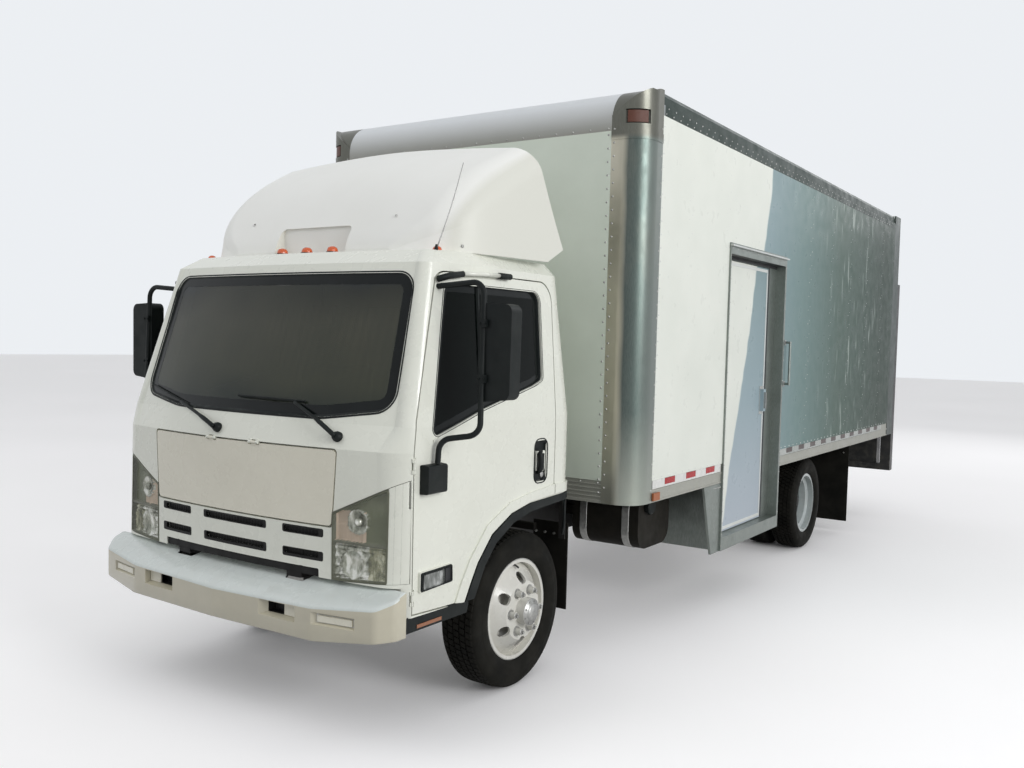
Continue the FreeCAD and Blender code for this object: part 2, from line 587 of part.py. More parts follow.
def rim_shape(outward):
    """A pressed disc wheel: a dropped rim, and a disc set out towards the given hand."""
    half, gauge, bead, lip = size.rim_width / 2, size.rim_gauge, size.bead_radius, size.lip_radius
    well = bead - size.rim_well
    barrel = [(-half, lip), (-half + 12, lip), (-half + 12, bead), (-40, bead), (-25, well), (25, well),
              (40, bead), (half - 12, bead), (half - 12, lip), (half, lip), (half, bead - gauge),
              (44, bead - gauge), (29, well - gauge), (-29, well - gauge), (-44, bead - gauge),
              (-half, bead - gauge)]
    rim = ring_profile(barrel)
    face, thick = size.disc_offset * outward, size.disc_gauge
    inner = size.spindle_radius + size.bearing_gap
    disc = [(face, inner), (face, 150), (face - outward * 45, 200), (face - outward * 82, bead - gauge + 2),
            (face - outward * (82 + thick + 4), bead - gauge + 2), (face - outward * (45 + thick), 196),
            (face - outward * thick, 144), (face - outward * thick, inner)]
    wheel = rim.fuse(ring_profile(disc))
    for index in range(6):
        turn = math.radians(60 * index + 30)
        centre = Vec(face - outward * 120, size.hand_hole_circle / 2 * math.cos(turn),
                     size.hand_hole_circle / 2 * math.sin(turn))
        wheel = wheel.cut(Part.makeCylinder(size.hand_hole_radius, 240, centre, AXES["x"] * outward))
    return wheel


def hub_shape(outward, reach):
    """A hub and its lug nuts outside the disc, and a brake drum inside it."""
    face = size.disc_offset * outward
    inner = size.spindle_radius + size.bearing_gap
    direction = AXES["x"] * outward
    cap = Part.makeCylinder(size.hub_radius - 20, reach, Vec(face, 0, 0), direction)
    solid = cap
    for index in range(int(size.lug_count)):
        turn = 2 * math.pi * index / size.lug_count
        place = Vec(face, size.lug_circle / 2 * math.cos(turn), size.lug_circle / 2 * math.sin(turn))
        solid = solid.fuse(Part.makeCylinder(size.lug_radius, size.lug_length, place, direction))
    core = Part.makeCylinder(size.hub_radius, size.drum_back, Vec(face, 0, 0), -direction)
    drum = Part.makeCylinder(size.drum_radius, size.drum_width, Vec(face - outward * size.drum_back, 0, 0),
                             -direction)
    return solid.fuse([core, drum]), Part.makeCylinder(inner, 400, Vec(face - outward * 300, 0, 0), direction)


def wheel_pair(side, hand):
    """Front rim and tyre of one side, turned so that its disc bulges outward."""
    centre = Vec(hand * size.front_track / 2, size.axle_y, size.tyre_radius)
    hub, bore = hub_shape(1, 50)
    rim = rim_shape(1).fuse(hub).cut(bore.common(Part.makeBox(300, 400, 400, Vec(-300 + size.disc_offset,
                                                                                -200, -200))))
    tyre = tyre_shape()
    if hand < 0:
        rim, tyre = (shape.mirror(Vec(0, 0, 0), AXES["x"]) for shape in (rim, tyre))
    for shape in (rim, tyre):
        shape.translate(centre)
    return shaped(f"front_rim_{side}", rim), shaped(f"front_tyre_{side}", tyre)


def dual_pair(side, hand):
    """Twin rear rims back to back on one drum, and their tyres."""
    half = size.dual_spacing / 2
    outer, inner = rim_shape(-1), rim_shape(1)
    outer.translate(Vec(half, 0, 0))
    inner.translate(Vec(-half, 0, 0))
    tube = Part.makeCylinder(size.hub_radius, 150, Vec(-20, 0, 0), AXES["x"])
    drum = Part.makeCylinder(size.drum_radius, 100, Vec(-110, 0, 0), AXES["x"])
    rims = outer.fuse(inner).fuse(tube).fuse(drum)
    for index in range(int(size.lug_count)):
        turn = 2 * math.pi * index / size.lug_count
        place = Vec(6, size.lug_circle / 2 * math.cos(turn), size.lug_circle / 2 * math.sin(turn))
        rims = rims.fuse(Part.makeCylinder(size.lug_radius, size.lug_length, place, AXES["x"]))
    rims = rims.cut(Part.makeCylinder(size.axle_tube_radius + 0.05, 160, Vec(-160, 0, 0), AXES["x"]))
    tyres = [tyre_shape(), tyre_shape()]
    tyres[0].translate(Vec(half, 0, 0))
    tyres[1].translate(Vec(-half, 0, 0))
    shapes = [rims] + tyres
    if hand < 0:
        shapes = [shape.mirror(Vec(0, 0, 0), AXES["x"]) for shape in shapes]
    for shape in shapes:
        shape.translate(Vec(hand * size.rear_track / 2, size.rear_axle_y, size.tyre_radius))
    return shaped(f"rear_rims_{side}", shapes[0]), shaped(f"rear_tyres_{side}", Part.makeCompound(shapes[1:]))


def leaf_stack(across, centre_y, seat_z, length, camber, count):
    """A stack of leaves, each an arc of flat bar shorter than the one above it."""
    leaves = []
    thick = size.leaf_thickness
    for number in range(count):
        half = length / 2 * (1 - 0.2 * number)
        low = seat_z + thick * (count - 1 - number)
        rise = camber * (half / (length / 2)) ** 2
        faces = []
        for lift in (0, thick):
            faces.append(Part.Arc(Vec(across, centre_y - half, low + lift + rise),
                                  Vec(across, centre_y, low + lift),
                                  Vec(across, centre_y + half, low + lift + rise)).toShape())
        ends = [Part.makeLine(faces[0].Vertexes[index].Point, faces[1].Vertexes[index].Point)
                for index in (0, 1)]
        wire = Part.Wire(Part.__sortEdges__([faces[0], ends[1], faces[1], ends[0]]))
        leaves.append(Part.Face(wire).extrude(Vec(size.spring_width, 0, 0)))
    return leaves[0].fuse(leaves[1:])


def build_springs():
    """Four leaf springs with their eyes in hangers under the rails."""
    solids = []
    width = size.spring_width
    front_seat = size.tyre_radius - size.axle_drop + size.axle_beam_height / 2 - 10 + 0.3
    rear_seat = size.tyre_radius + size.axle_tube_radius + 0.3
    plans = ((size.rail_x - width - 3, size.axle_y, front_seat, size.front_spring_length, 70, 3),
             (size.rear_spring_x - width / 2, size.rear_axle_y, rear_seat, size.rear_spring_length, 70, 4))
    for low_x, centre, seat, length, camber, count in plans:
        stack = leaf_stack(low_x, centre, seat, length, camber, count)
        top = seat + size.leaf_thickness * count
        for hand in (-1, 1):
            eye_y, eye_z = centre + hand * length / 2, top + camber - size.leaf_thickness / 2
            stack = stack.fuse(Part.makeCylinder(24, width, Vec(low_x, eye_y, eye_z), AXES["x"]))
            if low_x > size.rail_x:
                stack = stack.fuse(Part.makeBox(low_x + 12 - size.rail_x, 60, 190,
                                                Vec(size.rail_x, eye_y - 30, eye_z - 10)))
            else:
                stack = stack.fuse(Part.makeBox(12, 60, size.rail_bottom_z - eye_z + 10,
                                                Vec(low_x, eye_y - 30, eye_z - 10)))
        solids += [stack, stack.mirror(Vec(0, 0, 0), AXES["x"])]
    return shaped("leaf_springs", Part.makeCompound(solids))


def build_drive_axle():
    """The rear axle's tubes and round final-drive case, with the propeller shaft into it."""
    length = "rear_track/2 - 55"
    tube = rod("axle_tube", "x", (f"-({length})", "rear_axle_y", "tyre_radius"), "axle_tube_radius",
               f"2*({length})")
    case = rod("final_drive_case", "y", ("0", "rear_axle_y - banjo_depth/2", "tyre_radius"), "banjo_radius",
               "banjo_depth")
    cover = rod("final_drive_cover", "y", ("0", "rear_axle_y + banjo_depth/2", "tyre_radius"),
                "banjo_radius - 35", "45")
    nose = rod("pinion_nose", "y", ("0", "rear_axle_y - 330", "tyre_radius + 20"), "75", "300")
    return fuse("drive_axle", [tube, case, cover, nose, build_shaft()])


def build_shaft():
    """The propeller shaft, from the gearbox down to the axle's pinion."""
    begin = Vec(0, size.axle_y + size.engine_length - size.engine_front + size.gearbox_length + 5, 600)
    end = Vec(0, size.rear_axle_y - 325, size.tyre_radius + 20)
    return shaped("propeller_shaft", Part.makeCylinder(size.shaft_radius, (end - begin).Length, begin,
                                                       end - begin))


def build_powertrain():
    """The engine as one block, its sump, and the gearbox behind it."""
    front = "axle_y - engine_front"
    block = box("engine_block", ("-engine_width/2", "engine_width/2"), (front, f"{front} + engine_length"),
                ("engine_bottom_z", "engine_top_z"))
    case = box("gearbox_case", ("-gearbox_width/2", "gearbox_width/2"),
               (f"{front} + engine_length", f"{front} + engine_length + gearbox_length"),
               ("600 - gearbox_depth/2", "600 + gearbox_depth/2 + 20"))
    mounts = [box(f"engine_mount_{side}", span, (f"{front} + 260", f"{front} + 360"), ("600", "660"))
              for side, span in (("left", ("engine_width/2", "rail_x - rail_gauge - 0.3")),
                                 ("right", ("-rail_x + rail_gauge + 0.3", "-engine_width/2")))]
    return fuse("powertrain", [block, case] + mounts)


def build_tank():
    """The fuel tank, a rounded box hung from the left rail on two straps."""
    tank = plate("YZ", from_axle([(1240, 500), (1690, 500), (1690, 850), (1240, 850)]), 520, 990, 110)
    straps = [Part.makeBox(520 - size.rail_x - 0.3 + 10, 40, 60,
                           Vec(size.rail_x + 0.3, size.axle_y + along, 660))
              for along in (1320, 1570)]
    return shaped("fuel_tank", tank.fuse(straps))


def build_exhaust():
    """A silencer on the right, its pipes, and the tail pipe behind it."""
    silencer = Part.makeCylinder(110, 700, Vec(-560, size.axle_y + 1500, 480), AXES["y"])
    inlet = Part.makeCylinder(32, 620, Vec(-560, size.axle_y + 900, 480), AXES["y"])
    tail = Part.makeCylinder(32, 500, Vec(-560, size.axle_y + 2190, 480), AXES["y"])
    hangers = [Part.makeBox(560 - size.rail_x - 0.3 + 20, 40, 40,
                            Vec(-580, size.axle_y + along, 565)) for along in (1560, 2080)]
    return shaped("exhaust", silencer.fuse([inlet, tail] + hangers))


def bumper_slope(drop):
    """Everything above the bumper's top, which falls towards the front."""
    rear, front = -size.bumper_top_rear, -size.front_overhang - 60
    fall = (size.bumper_top_z - size.bumper_nose_z) / (size.front_overhang - size.bumper_top_rear)
    low = size.bumper_top_z - fall * (rear - front)
    return wide([(front, low - drop), (rear, size.bumper_top_z - drop), (rear + 100, size.bumper_top_z - drop),
                 (rear + 100, 900), (front, 900)])


def bumper_block(inset, low):
    """The left half of the bumper's solid form, drawn in by the inset."""
    front = -size.front_overhang + inset
    half = size.bumper_width / 2 - inset
    rear = -size.bumper_rear
    pairs = [(0, front), (620, front + 22), (half - 60, front + 80), (half, front + 150), (half, rear), (0, rear)]
    at = [(across, size.axle_y + along) for across, along in pairs]
    block = plate("XY", at, low, size.bumper_top_z + 20, [0, 300, 60, 60, 0, 0])
    return block.cut(bumper_slope(inset))


def build_bumper():
    """A deep bumper bowed in plan with a falling top, open steps in its face, on two arms from the rails."""
    gauge, low = size.bumper_gauge, size.bumper_bottom_z
    rise = across_front([(640, low - 30), (1020, low - 30), (1020, low + 39), (640, low)], 0, -1300, -900)
    shell = bumper_block(0, low).cut(bumper_block(gauge, low - 20).translated(Vec(0, gauge, 0))).cut(rise)
    shell = shell.cut(across_front([(305, 530), (530, 530), (530, 600), (305, 600)], 14, -1300, -1100))
    blank = across_front([(623, 537), (843, 541), (843, 594), (623, 592)], 10, -1300, -900)
    lid = blank.common(bumper_block(4, low)).cut(bumper_block(gauge + 0.3, low - 20))
    shell = both_sides(shell.cut(blank).fuse(lid))
    for hand in (1, -1):
        shell = shell.cut(Part.makeBox(110, 130, 80, Vec(hand * size.hinge_x - 55, size.axle_y - 1046, 640)))
    near = -size.front_overhang + gauge / 2
    arms = [Part.makeBox(60, size.front_overhang - gauge / 2 - size.rail_front - size.ear_gauge - 0.3, 90,
                         Vec(hand * size.hinge_x - 30, size.axle_y + near, size.rail_bottom_z + 10))
            for hand in (1, -1)]
    return shaped("front_bumper", shell.fuse(arms))


# Cargo box

def build_box():
    """Floor, walls, roof, rails and corner posts of the cargo box."""
    side, wall = "box_side_x", "wall_gauge"
    front, rear = "box_front_y", "box_rear_y - rear_frame_depth"
    half, head = size.box_side_x - size.wall_gauge, size.box_front_y + size.wall_gauge
    tail = size.box_rear_y - size.rear_frame_depth
    turn = size.post_radius - size.wall_gauge + 1
    slab = shaped("floor_slab", plate("XY", [(-half, head), (half, head), (half, tail), (-half, tail)],
                                      size.floor_z - size.floor_gauge, size.floor_z, [turn, turn, 0, 0]))
    sills = [box(f"long_sill_{name}", span, ("box_front_y + 50", rear), ("rail_top_z + 0.3", "box_bottom_z"))
             for name, span in (("left", ("rail_x - rail_flange", "rail_x")),
                                ("right", ("-rail_x", "-rail_x + rail_flange")))]
    cross = []
    step = 406
    for number in range(int((size.box_length - 500) / step)):
        low = f"box_front_y + 130 + {step * number}"
        cross.append(box(f"cross_sill_{number + 1}", (f"-{side} + {wall} + 5", f"{side} - {wall} - 5"),
                         (low, f"{low} + 50"), ("box_bottom_z - 0.5", "floor_z - floor_gauge + 0.5")))
    well = box("well_room", (f"{side} - well_depth", f"{side} + 10"),
               ("axle_y + well_front", "axle_y + well_rear"),
               ("entry_bottom_z", "floor_z + 1"))
    floor = cut("box_floor", fuse("floor_frame", [slab] + sills + cross), [well])
    wall_y = ("box_front_y + post_face", rear)
    left = box("left_panel", (f"{side} - {wall}", side), wall_y, ("floor_z", "box_side_top_z"))
    doorway = box("doorway", (f"{side} - {wall} - 5", f"{side} + 5"),
                  ("axle_y + entry_front", "axle_y + entry_rear"),
                  ("floor_z - 5", "entry_top_z"))
    left_wall = cut("side_panel_left", left, [doorway])
    right_wall = box("side_panel_right", (f"-{side}", f"-{side} + {wall}"),
                     wall_y, ("floor_z", "box_side_top_z"))
    front_wall = box("box_front_wall", (f"-{side} + post_face", f"{side} - post_face"),
                     ("box_front_y", f"box_front_y + {wall}"), ("floor_z", "cove_bottom_z"))
    doc.recompute()
    walls = shaped("box_side_walls", Part.makeCompound([left_wall.Shape, right_wall.Shape]))
    return floor, walls, front_wall


def post_plan(inset, low, high):
    """A front corner's plan, rounded outside, drawn in by the inset, between two heights."""
    side, front, face = size.box_side_x, size.box_front_y, size.post_face
    pairs = [(side - face, front + inset), (side - inset, front + inset), (side - inset, front + face),
             (side - face, front + face)]
    return plate("XY", pairs, low, high, [0, size.post_radius - inset, 0, 0])


def front_cove(inset, low):
    """The box's solid form in side view, with the big round of its front top edge."""
    front = size.box_front_y - size.axle_y + inset
    top = size.box_top_z - inset
    return wide([(front, low), (front + 1500, low), (front + 1500, top), (front, top)],
                [0, 0, 0, size.cove_radius - inset])


def corner_niche(grow, off):
    """The marker lamp's niche in a corner casting, turned round the post's centre.

    For the lamp itself it is narrowed all round and lifted off the niche's floor."""
    radius = size.post_radius
    deep = size.niche_depth - off
    niche = Part.makeBox(140 - 4 * grow, 60, 78 - 2 * grow, Vec(-70 + 2 * grow, -radius + deep - 60, 3012 + grow))
    niche.rotate(Vec(0, 0, 0), AXES["z"], size.niche_turn)
    return niche.translated(Vec(size.box_side_x - radius, size.box_front_y + radius, 0))


def corner_casting():
    """The cap on a post: a rounded corner with a hood standing out over the marker lamp's niche."""
    low, high, gauge = size.casting_bottom_z, size.box_top_z, size.wall_gauge
    side, front, face = size.box_side_x, size.box_front_y, size.post_face
    hood = plate("XZ", [(side - face - 5, low), (side + 5, low), (side + 5, high - 20), (side - 12, high - 14),
                        (side - face - 5, size.hood_low_z)], front - 5, front + face + 5)
    body = post_plan(0, low, high).common(front_cove(0, low - 5).fuse(hood))
    room = post_plan(gauge, low - 5, high - gauge).common(front_cove(gauge, low - 10))
    return body.cut(room).cut(corner_niche(0, 0))


def build_posts():
    """The box's rounded front corner posts, each with its casting on top."""
    low, high, gauge = size.box_bottom_z, size.casting_bottom_z, size.wall_gauge
    post = post_plan(0, low, high).cut(post_plan(gauge, low - 5, high + 5)).fuse(corner_casting())
    band = post_plan(-3, high - 14, high + 36).cut(post_plan(2, high - 20, high + 40))
    post = post.fuse(band)
    return shaped("corner_posts", Part.makeCompound([post, post.mirror(Vec(0, 0, 0), AXES["x"])]))


def ribbed(heights):
    """A rail's section as depth and height pairs, its face stepping in and out at each height."""
    deep = size.rail_groove
    pairs = [(size.wall_gauge, heights[0]), (0, heights[0])]
    for number, height in enumerate(heights[1:-1]):
        inward = deep if number % 2 == 0 else 0
        pairs += [(deep - inward, height), (inward, height)]
    return pairs + [(pairs[-1][0], heights[-1]), (size.wall_gauge, heights[-1])]


def side_rail(pairs, low, high):
    """A left rail from its section, run along the box's side between two places."""
    return plate("XZ", [(size.box_side_x - depth, height) for depth, height in pairs], low, high)


def build_rails():
    """The box's rails: ribbed ones under the front and sides, and stepped or coved ones at the top."""
    side, front, face, gauge = size.box_side_x, size.box_front_y, size.post_face, size.wall_gauge
    rear = size.box_rear_y - size.rear_frame_depth
    low, high = size.box_bottom_z, size.floor_z
    front_low = plate("YZ", [(front + depth, height) for depth, height in
                             ribbed([low, low + 16, 900, 906, 924, 930, 948, 954, 972, 978, high])],
                      -side + face, side - face)
    cove = front_cove(0, size.cove_bottom_z).cut(front_cove(gauge, size.cove_bottom_z - 5))
    room = Part.makeBox(2 * (side - face), face, 400, Vec(-side + face, front, size.cove_bottom_z - 50))
    lower = ribbed([low, low + 10, 930, 942, high])
    top = size.box_top_z
    upper = [(gauge, size.box_side_top_z), (0, size.box_side_top_z), (0, 3143), (14, 3150), (14, 3196),
             (36, top), (gauge, top)]
    entry = [size.axle_y + size.entry_front, size.axle_y + size.entry_rear]
    solids = [side_rail(lower, front + face, entry[0]), side_rail(lower, entry[1], rear),
              side_rail(upper, front + face, rear)]
    other = [item.mirror(Vec(0, 0, 0), AXES["x"]) for item in (side_rail(lower, front + face, rear), solids[2])]
    return shaped("box_rails", Part.makeCompound([front_low, cove.common(room)] + solids + other))


def build_roof():
    return box("box_roof", ("-box_side_x + wall_gauge", "box_side_x - wall_gauge"),
               ("box_front_y + post_face", "box_rear_y - rear_frame_depth"),
               ("box_top_z - roof_gauge", "box_top_z"))


def build_rear_frame():
    """The rear frame: two posts, a header and a sill round the door opening."""
    along = ("box_rear_y - rear_frame_depth", "box_rear_y")
    outer = box("rear_block", ("-box_side_x", "box_side_x"), along, ("box_bottom_z", "box_top_z"))
    inner = box("rear_opening", ("-box_side_x + rear_post_width", "box_side_x - rear_post_width"),
                ("box_rear_y - rear_frame_depth - 5", "box_rear_y + 5"),
                ("floor_z", "box_top_z - rear_header_depth"))
    return cut("rear_frame", outer, [inner])


def build_roll_door():
    """The slatted door, closed between the rear posts."""
    edge = "box_side_x - rear_post_width - 0.3"
    low_y = "box_rear_y - 150"
    slab = box("slats", (f"-({edge})", edge), (low_y, f"{low_y} + roll_door_gauge"),
               ("floor_z + 0.3", "box_top_z - rear_header_depth - 0.3"))
    grooves = [box(f"groove_{number + 1}", (f"-({edge}) - 1", f"{edge} + 1"),
                   (f"{low_y} + roll_door_gauge - 6", f"{low_y} + roll_door_gauge + 1"),
                   (f"floor_z + {300 * (number + 1)}", f"floor_z + {300 * (number + 1)} + 8"))
               for number in range(6)]
    return cut("roll_up_door", slab, grooves)


def build_entry():
    """The side entry: a frame round the door, the step well under it and the wing ahead of it."""
    side = size.box_side_x
    gauge = 12
    front, rear, deep = size.entry_front, size.entry_rear, 75
    frame = plate("YZ", from_axle([(front, size.entry_bottom_z), (rear, size.entry_bottom_z),
                                   (rear, size.entry_top_z), (front, size.entry_top_z)]), side - deep, side + 12)
    hole = plate("YZ", from_axle([(size.side_door_front - 5, size.side_door_bottom_z - 5),
                                  (size.side_door_rear + 5, size.side_door_bottom_z - 5),
                                  (size.side_door_rear + 5, size.side_door_top_z + 5),
                                  (size.side_door_front - 5, size.side_door_top_z + 5)]),
                     side - 200, side + 100)
    ahead = size.side_door_front - 2 * size.door_barrel_radius
    recess = plate("YZ", from_axle([(ahead, size.side_door_bottom_z - 7),
                                    (rear - 30, size.side_door_bottom_z - 7),
                                    (rear - 30, size.side_door_top_z + 30),
                                    (ahead, size.side_door_top_z + 30)]),
                   side - size.side_door_recess, side + 100)
    pin = Part.makeCylinder(size.door_pin_radius, size.side_door_top_z - size.side_door_bottom_z,
                            side_hinge(size.side_door_bottom_z), AXES["z"])
    barrels = [Part.makeCylinder(size.door_barrel_radius, size.door_barrel_length - 2,
                                 side_hinge(height + size.door_barrel_length + 1), AXES["z"])
               for height in side_barrels()]
    seats = [Part.makeBox(size.door_barrel_radius + 1, size.door_barrel_radius, size.door_barrel_length - 2,
                          side_hinge(height + size.door_barrel_length + 1)
                          - Vec(size.door_barrel_radius + 1, size.door_barrel_radius, 0))
             for height in side_barrels()]
    frame = frame.cut(recess).cut(hole).fuse([pin] + barrels + seats)
    low_x = side - size.well_depth
    well = Part.makeBox(size.well_depth - 0.5, rear - front, size.floor_z - size.entry_bottom_z - 0.5,
                        Vec(low_x, size.axle_y + front, size.entry_bottom_z))
    room = Part.makeBox(size.well_depth, rear - front - 2 * gauge, 1000,
                        Vec(low_x + gauge, size.axle_y + front + gauge, size.entry_bottom_z + gauge))
    tread = Part.makeBox(200, rear - front, 30, Vec(low_x, size.axle_y + front, size.well_step_z))
    well = well.cut(room).fuse(tread)
    wing = plate("YZ", from_axle([(1718, 866), (front + 1, 866), (front + 1, size.entry_bottom_z),
                                  (size.well_front, size.entry_bottom_z)]), side - 16, side)
    grip = [Part.makeCylinder(9, 337, Vec(side + 42, size.axle_y + 3220, 1497), AXES["z"])]
    grip += [Part.makeCylinder(9, 42 - 0.3, Vec(side + 0.3, size.axle_y + 3220, height), AXES["x"])
             for height in (1506, 1825)]
    grip = grip[0].fuse(grip[1:])
    return shaped("entry_frame", Part.makeCompound([frame.fuse([well, wing]), grip]))


def side_hinge(height):
    """A point on the side door's hinge line."""
    return Vec(size.box_side_x - size.side_door_recess + size.door_barrel_radius + 0.5,
               size.axle_y + size.side_door_front - 2, height)


def side_barrels():
    """Heights at which the door's own barrels start, with the frame's between them."""
    span = size.side_door_top_z - size.side_door_bottom_z
    count = int(span / (2 * size.door_barrel_length))
    return [size.side_door_bottom_z + 2 * size.door_barrel_length * number for number in range(count)]


def build_side_door():
    """The entry door: a flat panel with its latch plate, hinged at its front edge."""
    outer = size.box_side_x - size.side_door_recess
    panel = Part.makeBox(size.side_door_gauge, size.side_door_rear - size.side_door_front,
                         size.side_door_top_z - size.side_door_bottom_z,
                         Vec(outer - size.side_door_gauge, size.axle_y + size.side_door_front,
                             size.side_door_bottom_z))
    latch = Part.makeBox(30, 50, 165, Vec(outer, size.axle_y + size.side_door_rear - 90, 1307))
    solid = panel.fuse(latch)
    for height in side_barrels():
        place = side_hinge(height)
        barrel = Part.makeCylinder(size.door_barrel_radius, size.door_barrel_length, place, AXES["z"])
        leaf = Part.makeBox(size.door_barrel_radius + 1, 40, size.door_barrel_length,
                            place - Vec(size.door_barrel_radius + 1, 0, 0))
        bore = Part.makeCylinder(size.door_pin_radius + size.bearing_gap, size.door_barrel_length, place,
                                 AXES["z"])
        solid = solid.fuse([barrel, leaf]).cut(bore)
    return shaped("side_door", solid)


def build_lift_gate():
    """A lift gate stowed behind the rear frame: two columns, a beam and the upright platform."""
    columns = [box(f"gate_column_{name}", span, ("box_rear_y + 0.3", "box_rear_y + 110"), ("512", "2508"))
               for name, span in (("left", ("box_side_x - 110", "box_side_x - 2")),
                                  ("right", ("-box_side_x + 2", "-box_side_x + 110")))]
    beam = box("gate_beam", ("-box_side_x + 2", "box_side_x - 2"), ("box_rear_y + 0.3", "box_rear_y + 110"),
               ("460", "530"))
    platform = box("gate_platform", ("-box_side_x + 150", "box_side_x - 150"),
                   ("box_rear_y + 20", "box_rear_y + gate_depth"), ("525", "1700"))
    pivot = rod("gate_pivot", "x", ("-box_side_x + 60", "box_rear_y + 112", "1660"), "45", "2*box_side_x - 120")
    hem = box("gate_hem", ("-box_side_x + 150", "box_side_x - 150"), ("box_rear_y + 60", "box_rear_y + 92"),
              ("1640", "1900"))
    return fuse("lift_gate", columns + [beam, platform, pivot, hem])


def build_flaps():
    """Rubber flaps behind the front and rear wheels."""
    solids = []
    for low_x, high_x, along, low, high in ((700, 925, 490, 290, 775), (600, 1170, 5430, 110, 867)):
        flap = Part.makeBox(high_x - low_x, 10, high - low, Vec(low_x, size.axle_y + along, low))
        arm = Part.makeBox(low_x - size.rail_x + 20, 30, 40, Vec(size.rail_x + 0.3, size.axle_y + along - 30,
                                                                 min(high, size.rail_top_z) - 60))
        solids += [flap.fuse(arm), flap.fuse(arm).mirror(Vec(0, 0, 0), AXES["x"])]
    return shaped("mud_flaps", Part.makeCompound(solids))


def build_body_lamps():
    """Box marker lamps and tail lamps."""
    side, front, rear = size.box_side_x, size.box_front_y, size.box_rear_y
    solids = [Part.makeBox(12, 85, 45, Vec(side + 0.3, size.axle_y + 940, 878))]
    solids.append(corner_niche(6, size.seat_gap).common(post_plan(4, 2900, 3200)))
    for height in (560, 700):
        solids.append(Part.makeCylinder(45, 16, Vec(side - 56, rear + 110.3, height), AXES["y"]))
    return shaped("body_lamps", Part.makeCompound(solids + [item.mirror(Vec(0, 0, 0), AXES["x"])
                                                            for item in solids]))


# Cab fittings

# Fairing sections from front to rear: place from the axle, half width at the base and at the shoulder,
# crown height on the centre line and shoulder radius.
FAIRING = [(-606, 560, 540, 2216, 12), (-560, 720, 690, 2325, 60), (-480, 833, 812, 2452, 120),
           (-390, 885, 872, 2566, 170), (-230, 925, 916, 2690, 190), (-20, 955, 944, 2795, 170),
           (200, 985, 962, 2868, 140), (330, 1003, 975, 2895, 130)]


def fairing_section(row, inset, base):
    """One cross-section of the fairing's left half: base, side, round shoulder and crowned top."""
    along, foot, shoulder, crown, radius = row
    y = size.axle_y + along + inset
    foot, shoulder, crown = foot - inset, shoulder - inset, crown - inset
    drop = crown - radius * 0.24
    knee = Vec(shoulder, y, drop - radius)
    round_end = Vec(shoulder - radius, y, drop)
    turn = math.sqrt(0.5)
    middle = Vec(shoulder - radius + radius * turn, y, drop - radius + radius * turn)
    low = Vec(foot, y, base)
    edges = [Part.makeLine(Vec(0, y, base), low), Part.makeLine(low, knee),
             Part.Arc(knee, middle, round_end).toShape(),
             Part.Arc(round_end,
                       Vec(round_end.x * 0.5, y, drop + (crown - drop) * 0.72), Vec(0, y, crown)).toShape(),
             Part.makeLine(Vec(0, y, crown), Vec(0, y, base))]
    return Part.Wire(edges)


def fairing_block(inset):
    """The left half of the roof fairing as a smooth solid, cut off aslant at its rear."""
    base = size.cab_roof_z + 0.3 - (40 if inset else 0)
    rows = FAIRING[1:] if inset else FAIRING
    solid = Part.makeLoft([fairing_section(row, inset, base) for row in rows], True, False)
    behind = wide([(128, 2100), (128, size.cab_roof_z), (250, 2267),
                   (22, 2800), (60, 2880), (90, 3000), (900, 3000),
                   (900, 2100)])
    return solid if inset else solid.cut(behind)


def from_axle_plan(pairs):
    """Plan-view points with their lengthwise places given from the front axle."""
    return [(across, size.axle_y + along) for across, along in pairs]


def build_fairing():
    """The roof fairing: a thin hollow wind deflector, open below and behind, with the marker lamps' niche."""
    def niche(grow, back):
        return plate("XZ", [(0, 2150), (250 + grow, 2150), (250 + grow, 2339 + grow), (0, 2339 + grow)],
                     size.axle_y - 700, size.axle_y + back, [0, 0, 30, 0])
    shell = fairing_block(0).cut(fairing_block(18).cut(niche(14, -526)))
    return shaped("roof_fairing", both_sides(shell.cut(niche(0, -540))))


def build_cab_lamps():
    """Headlamp units in the corners, side lamps on the doors' place, and roof markers."""
    unit = across_front([(612, size.nose_bottom_z - 1), (612, 1008), (1010, 1190), (1010, 727),
                         (660, size.nose_bottom_z - 1)], [0, 10, 10, 10, 0], -1300, -930)
    band = cab_block(0).cut(cab_block(40)).common(unit)
    lamps = [band, band.mirror(Vec(0, 0, 0), AXES["x"])]
    for across in (-178, 0, 178):
        lamps.append(Part.makeCylinder(28, 40, Vec(across, size.axle_y - 620, size.cab_roof_z - 5), AXES["z"]))
    for hand in (1, -1):
        lamps.append(Part.makeCylinder(24, 30,
                                      Vec(hand * 800, size.axle_y - 568, size.cab_roof_z - 15), AXES["z"]))
    return lamps


def build_seats():
    solids = []
    for low, high in ((400, 880), (-880, -330)):
        cushion = Part.makeBox(high - low, 450, 160, Vec(low, size.axle_y - 290, 990.3))
        back = Part.makeBox(high - low, 130, 620, Vec(low, size.axle_y + 160, 990.3))
        solids.append(cushion.fuse(back))
    return shaped("seats", Part.makeCompound(solids))


def build_dashboard():
    """The dashboard across the cab's front, with the steering column and wheel out of it."""
    panel = wide([(-1000, 1060), (-760, 1060), (-700, 1250), (-760, 1370), (-1000, 1370)], 20,
                 -size.dash_half_width, size.dash_half_width)
    cover = cab_block(size.cab_wall + 0.3)
    panel = panel.common(cover.fuse(cover.mirror(Vec(0, 0, 0), AXES["x"])))
    hub = Vec(480, size.axle_y - 560, 1330)
    lean = Vec(0, 0.6, 0.8)
    ring = Part.makeTorus(215, 16, hub, lean)
    spoke = Part.makeBox(420, 30, 14, Vec(-210, -15, -7))
    spoke.rotate(Vec(0, 0, 0), AXES["x"], -37)
    spoke.translate(hub)
    column = Part.makeCylinder(30, 400, hub, lean * -1)
    return shaped("dashboard", panel.fuse([ring, spoke, column]))


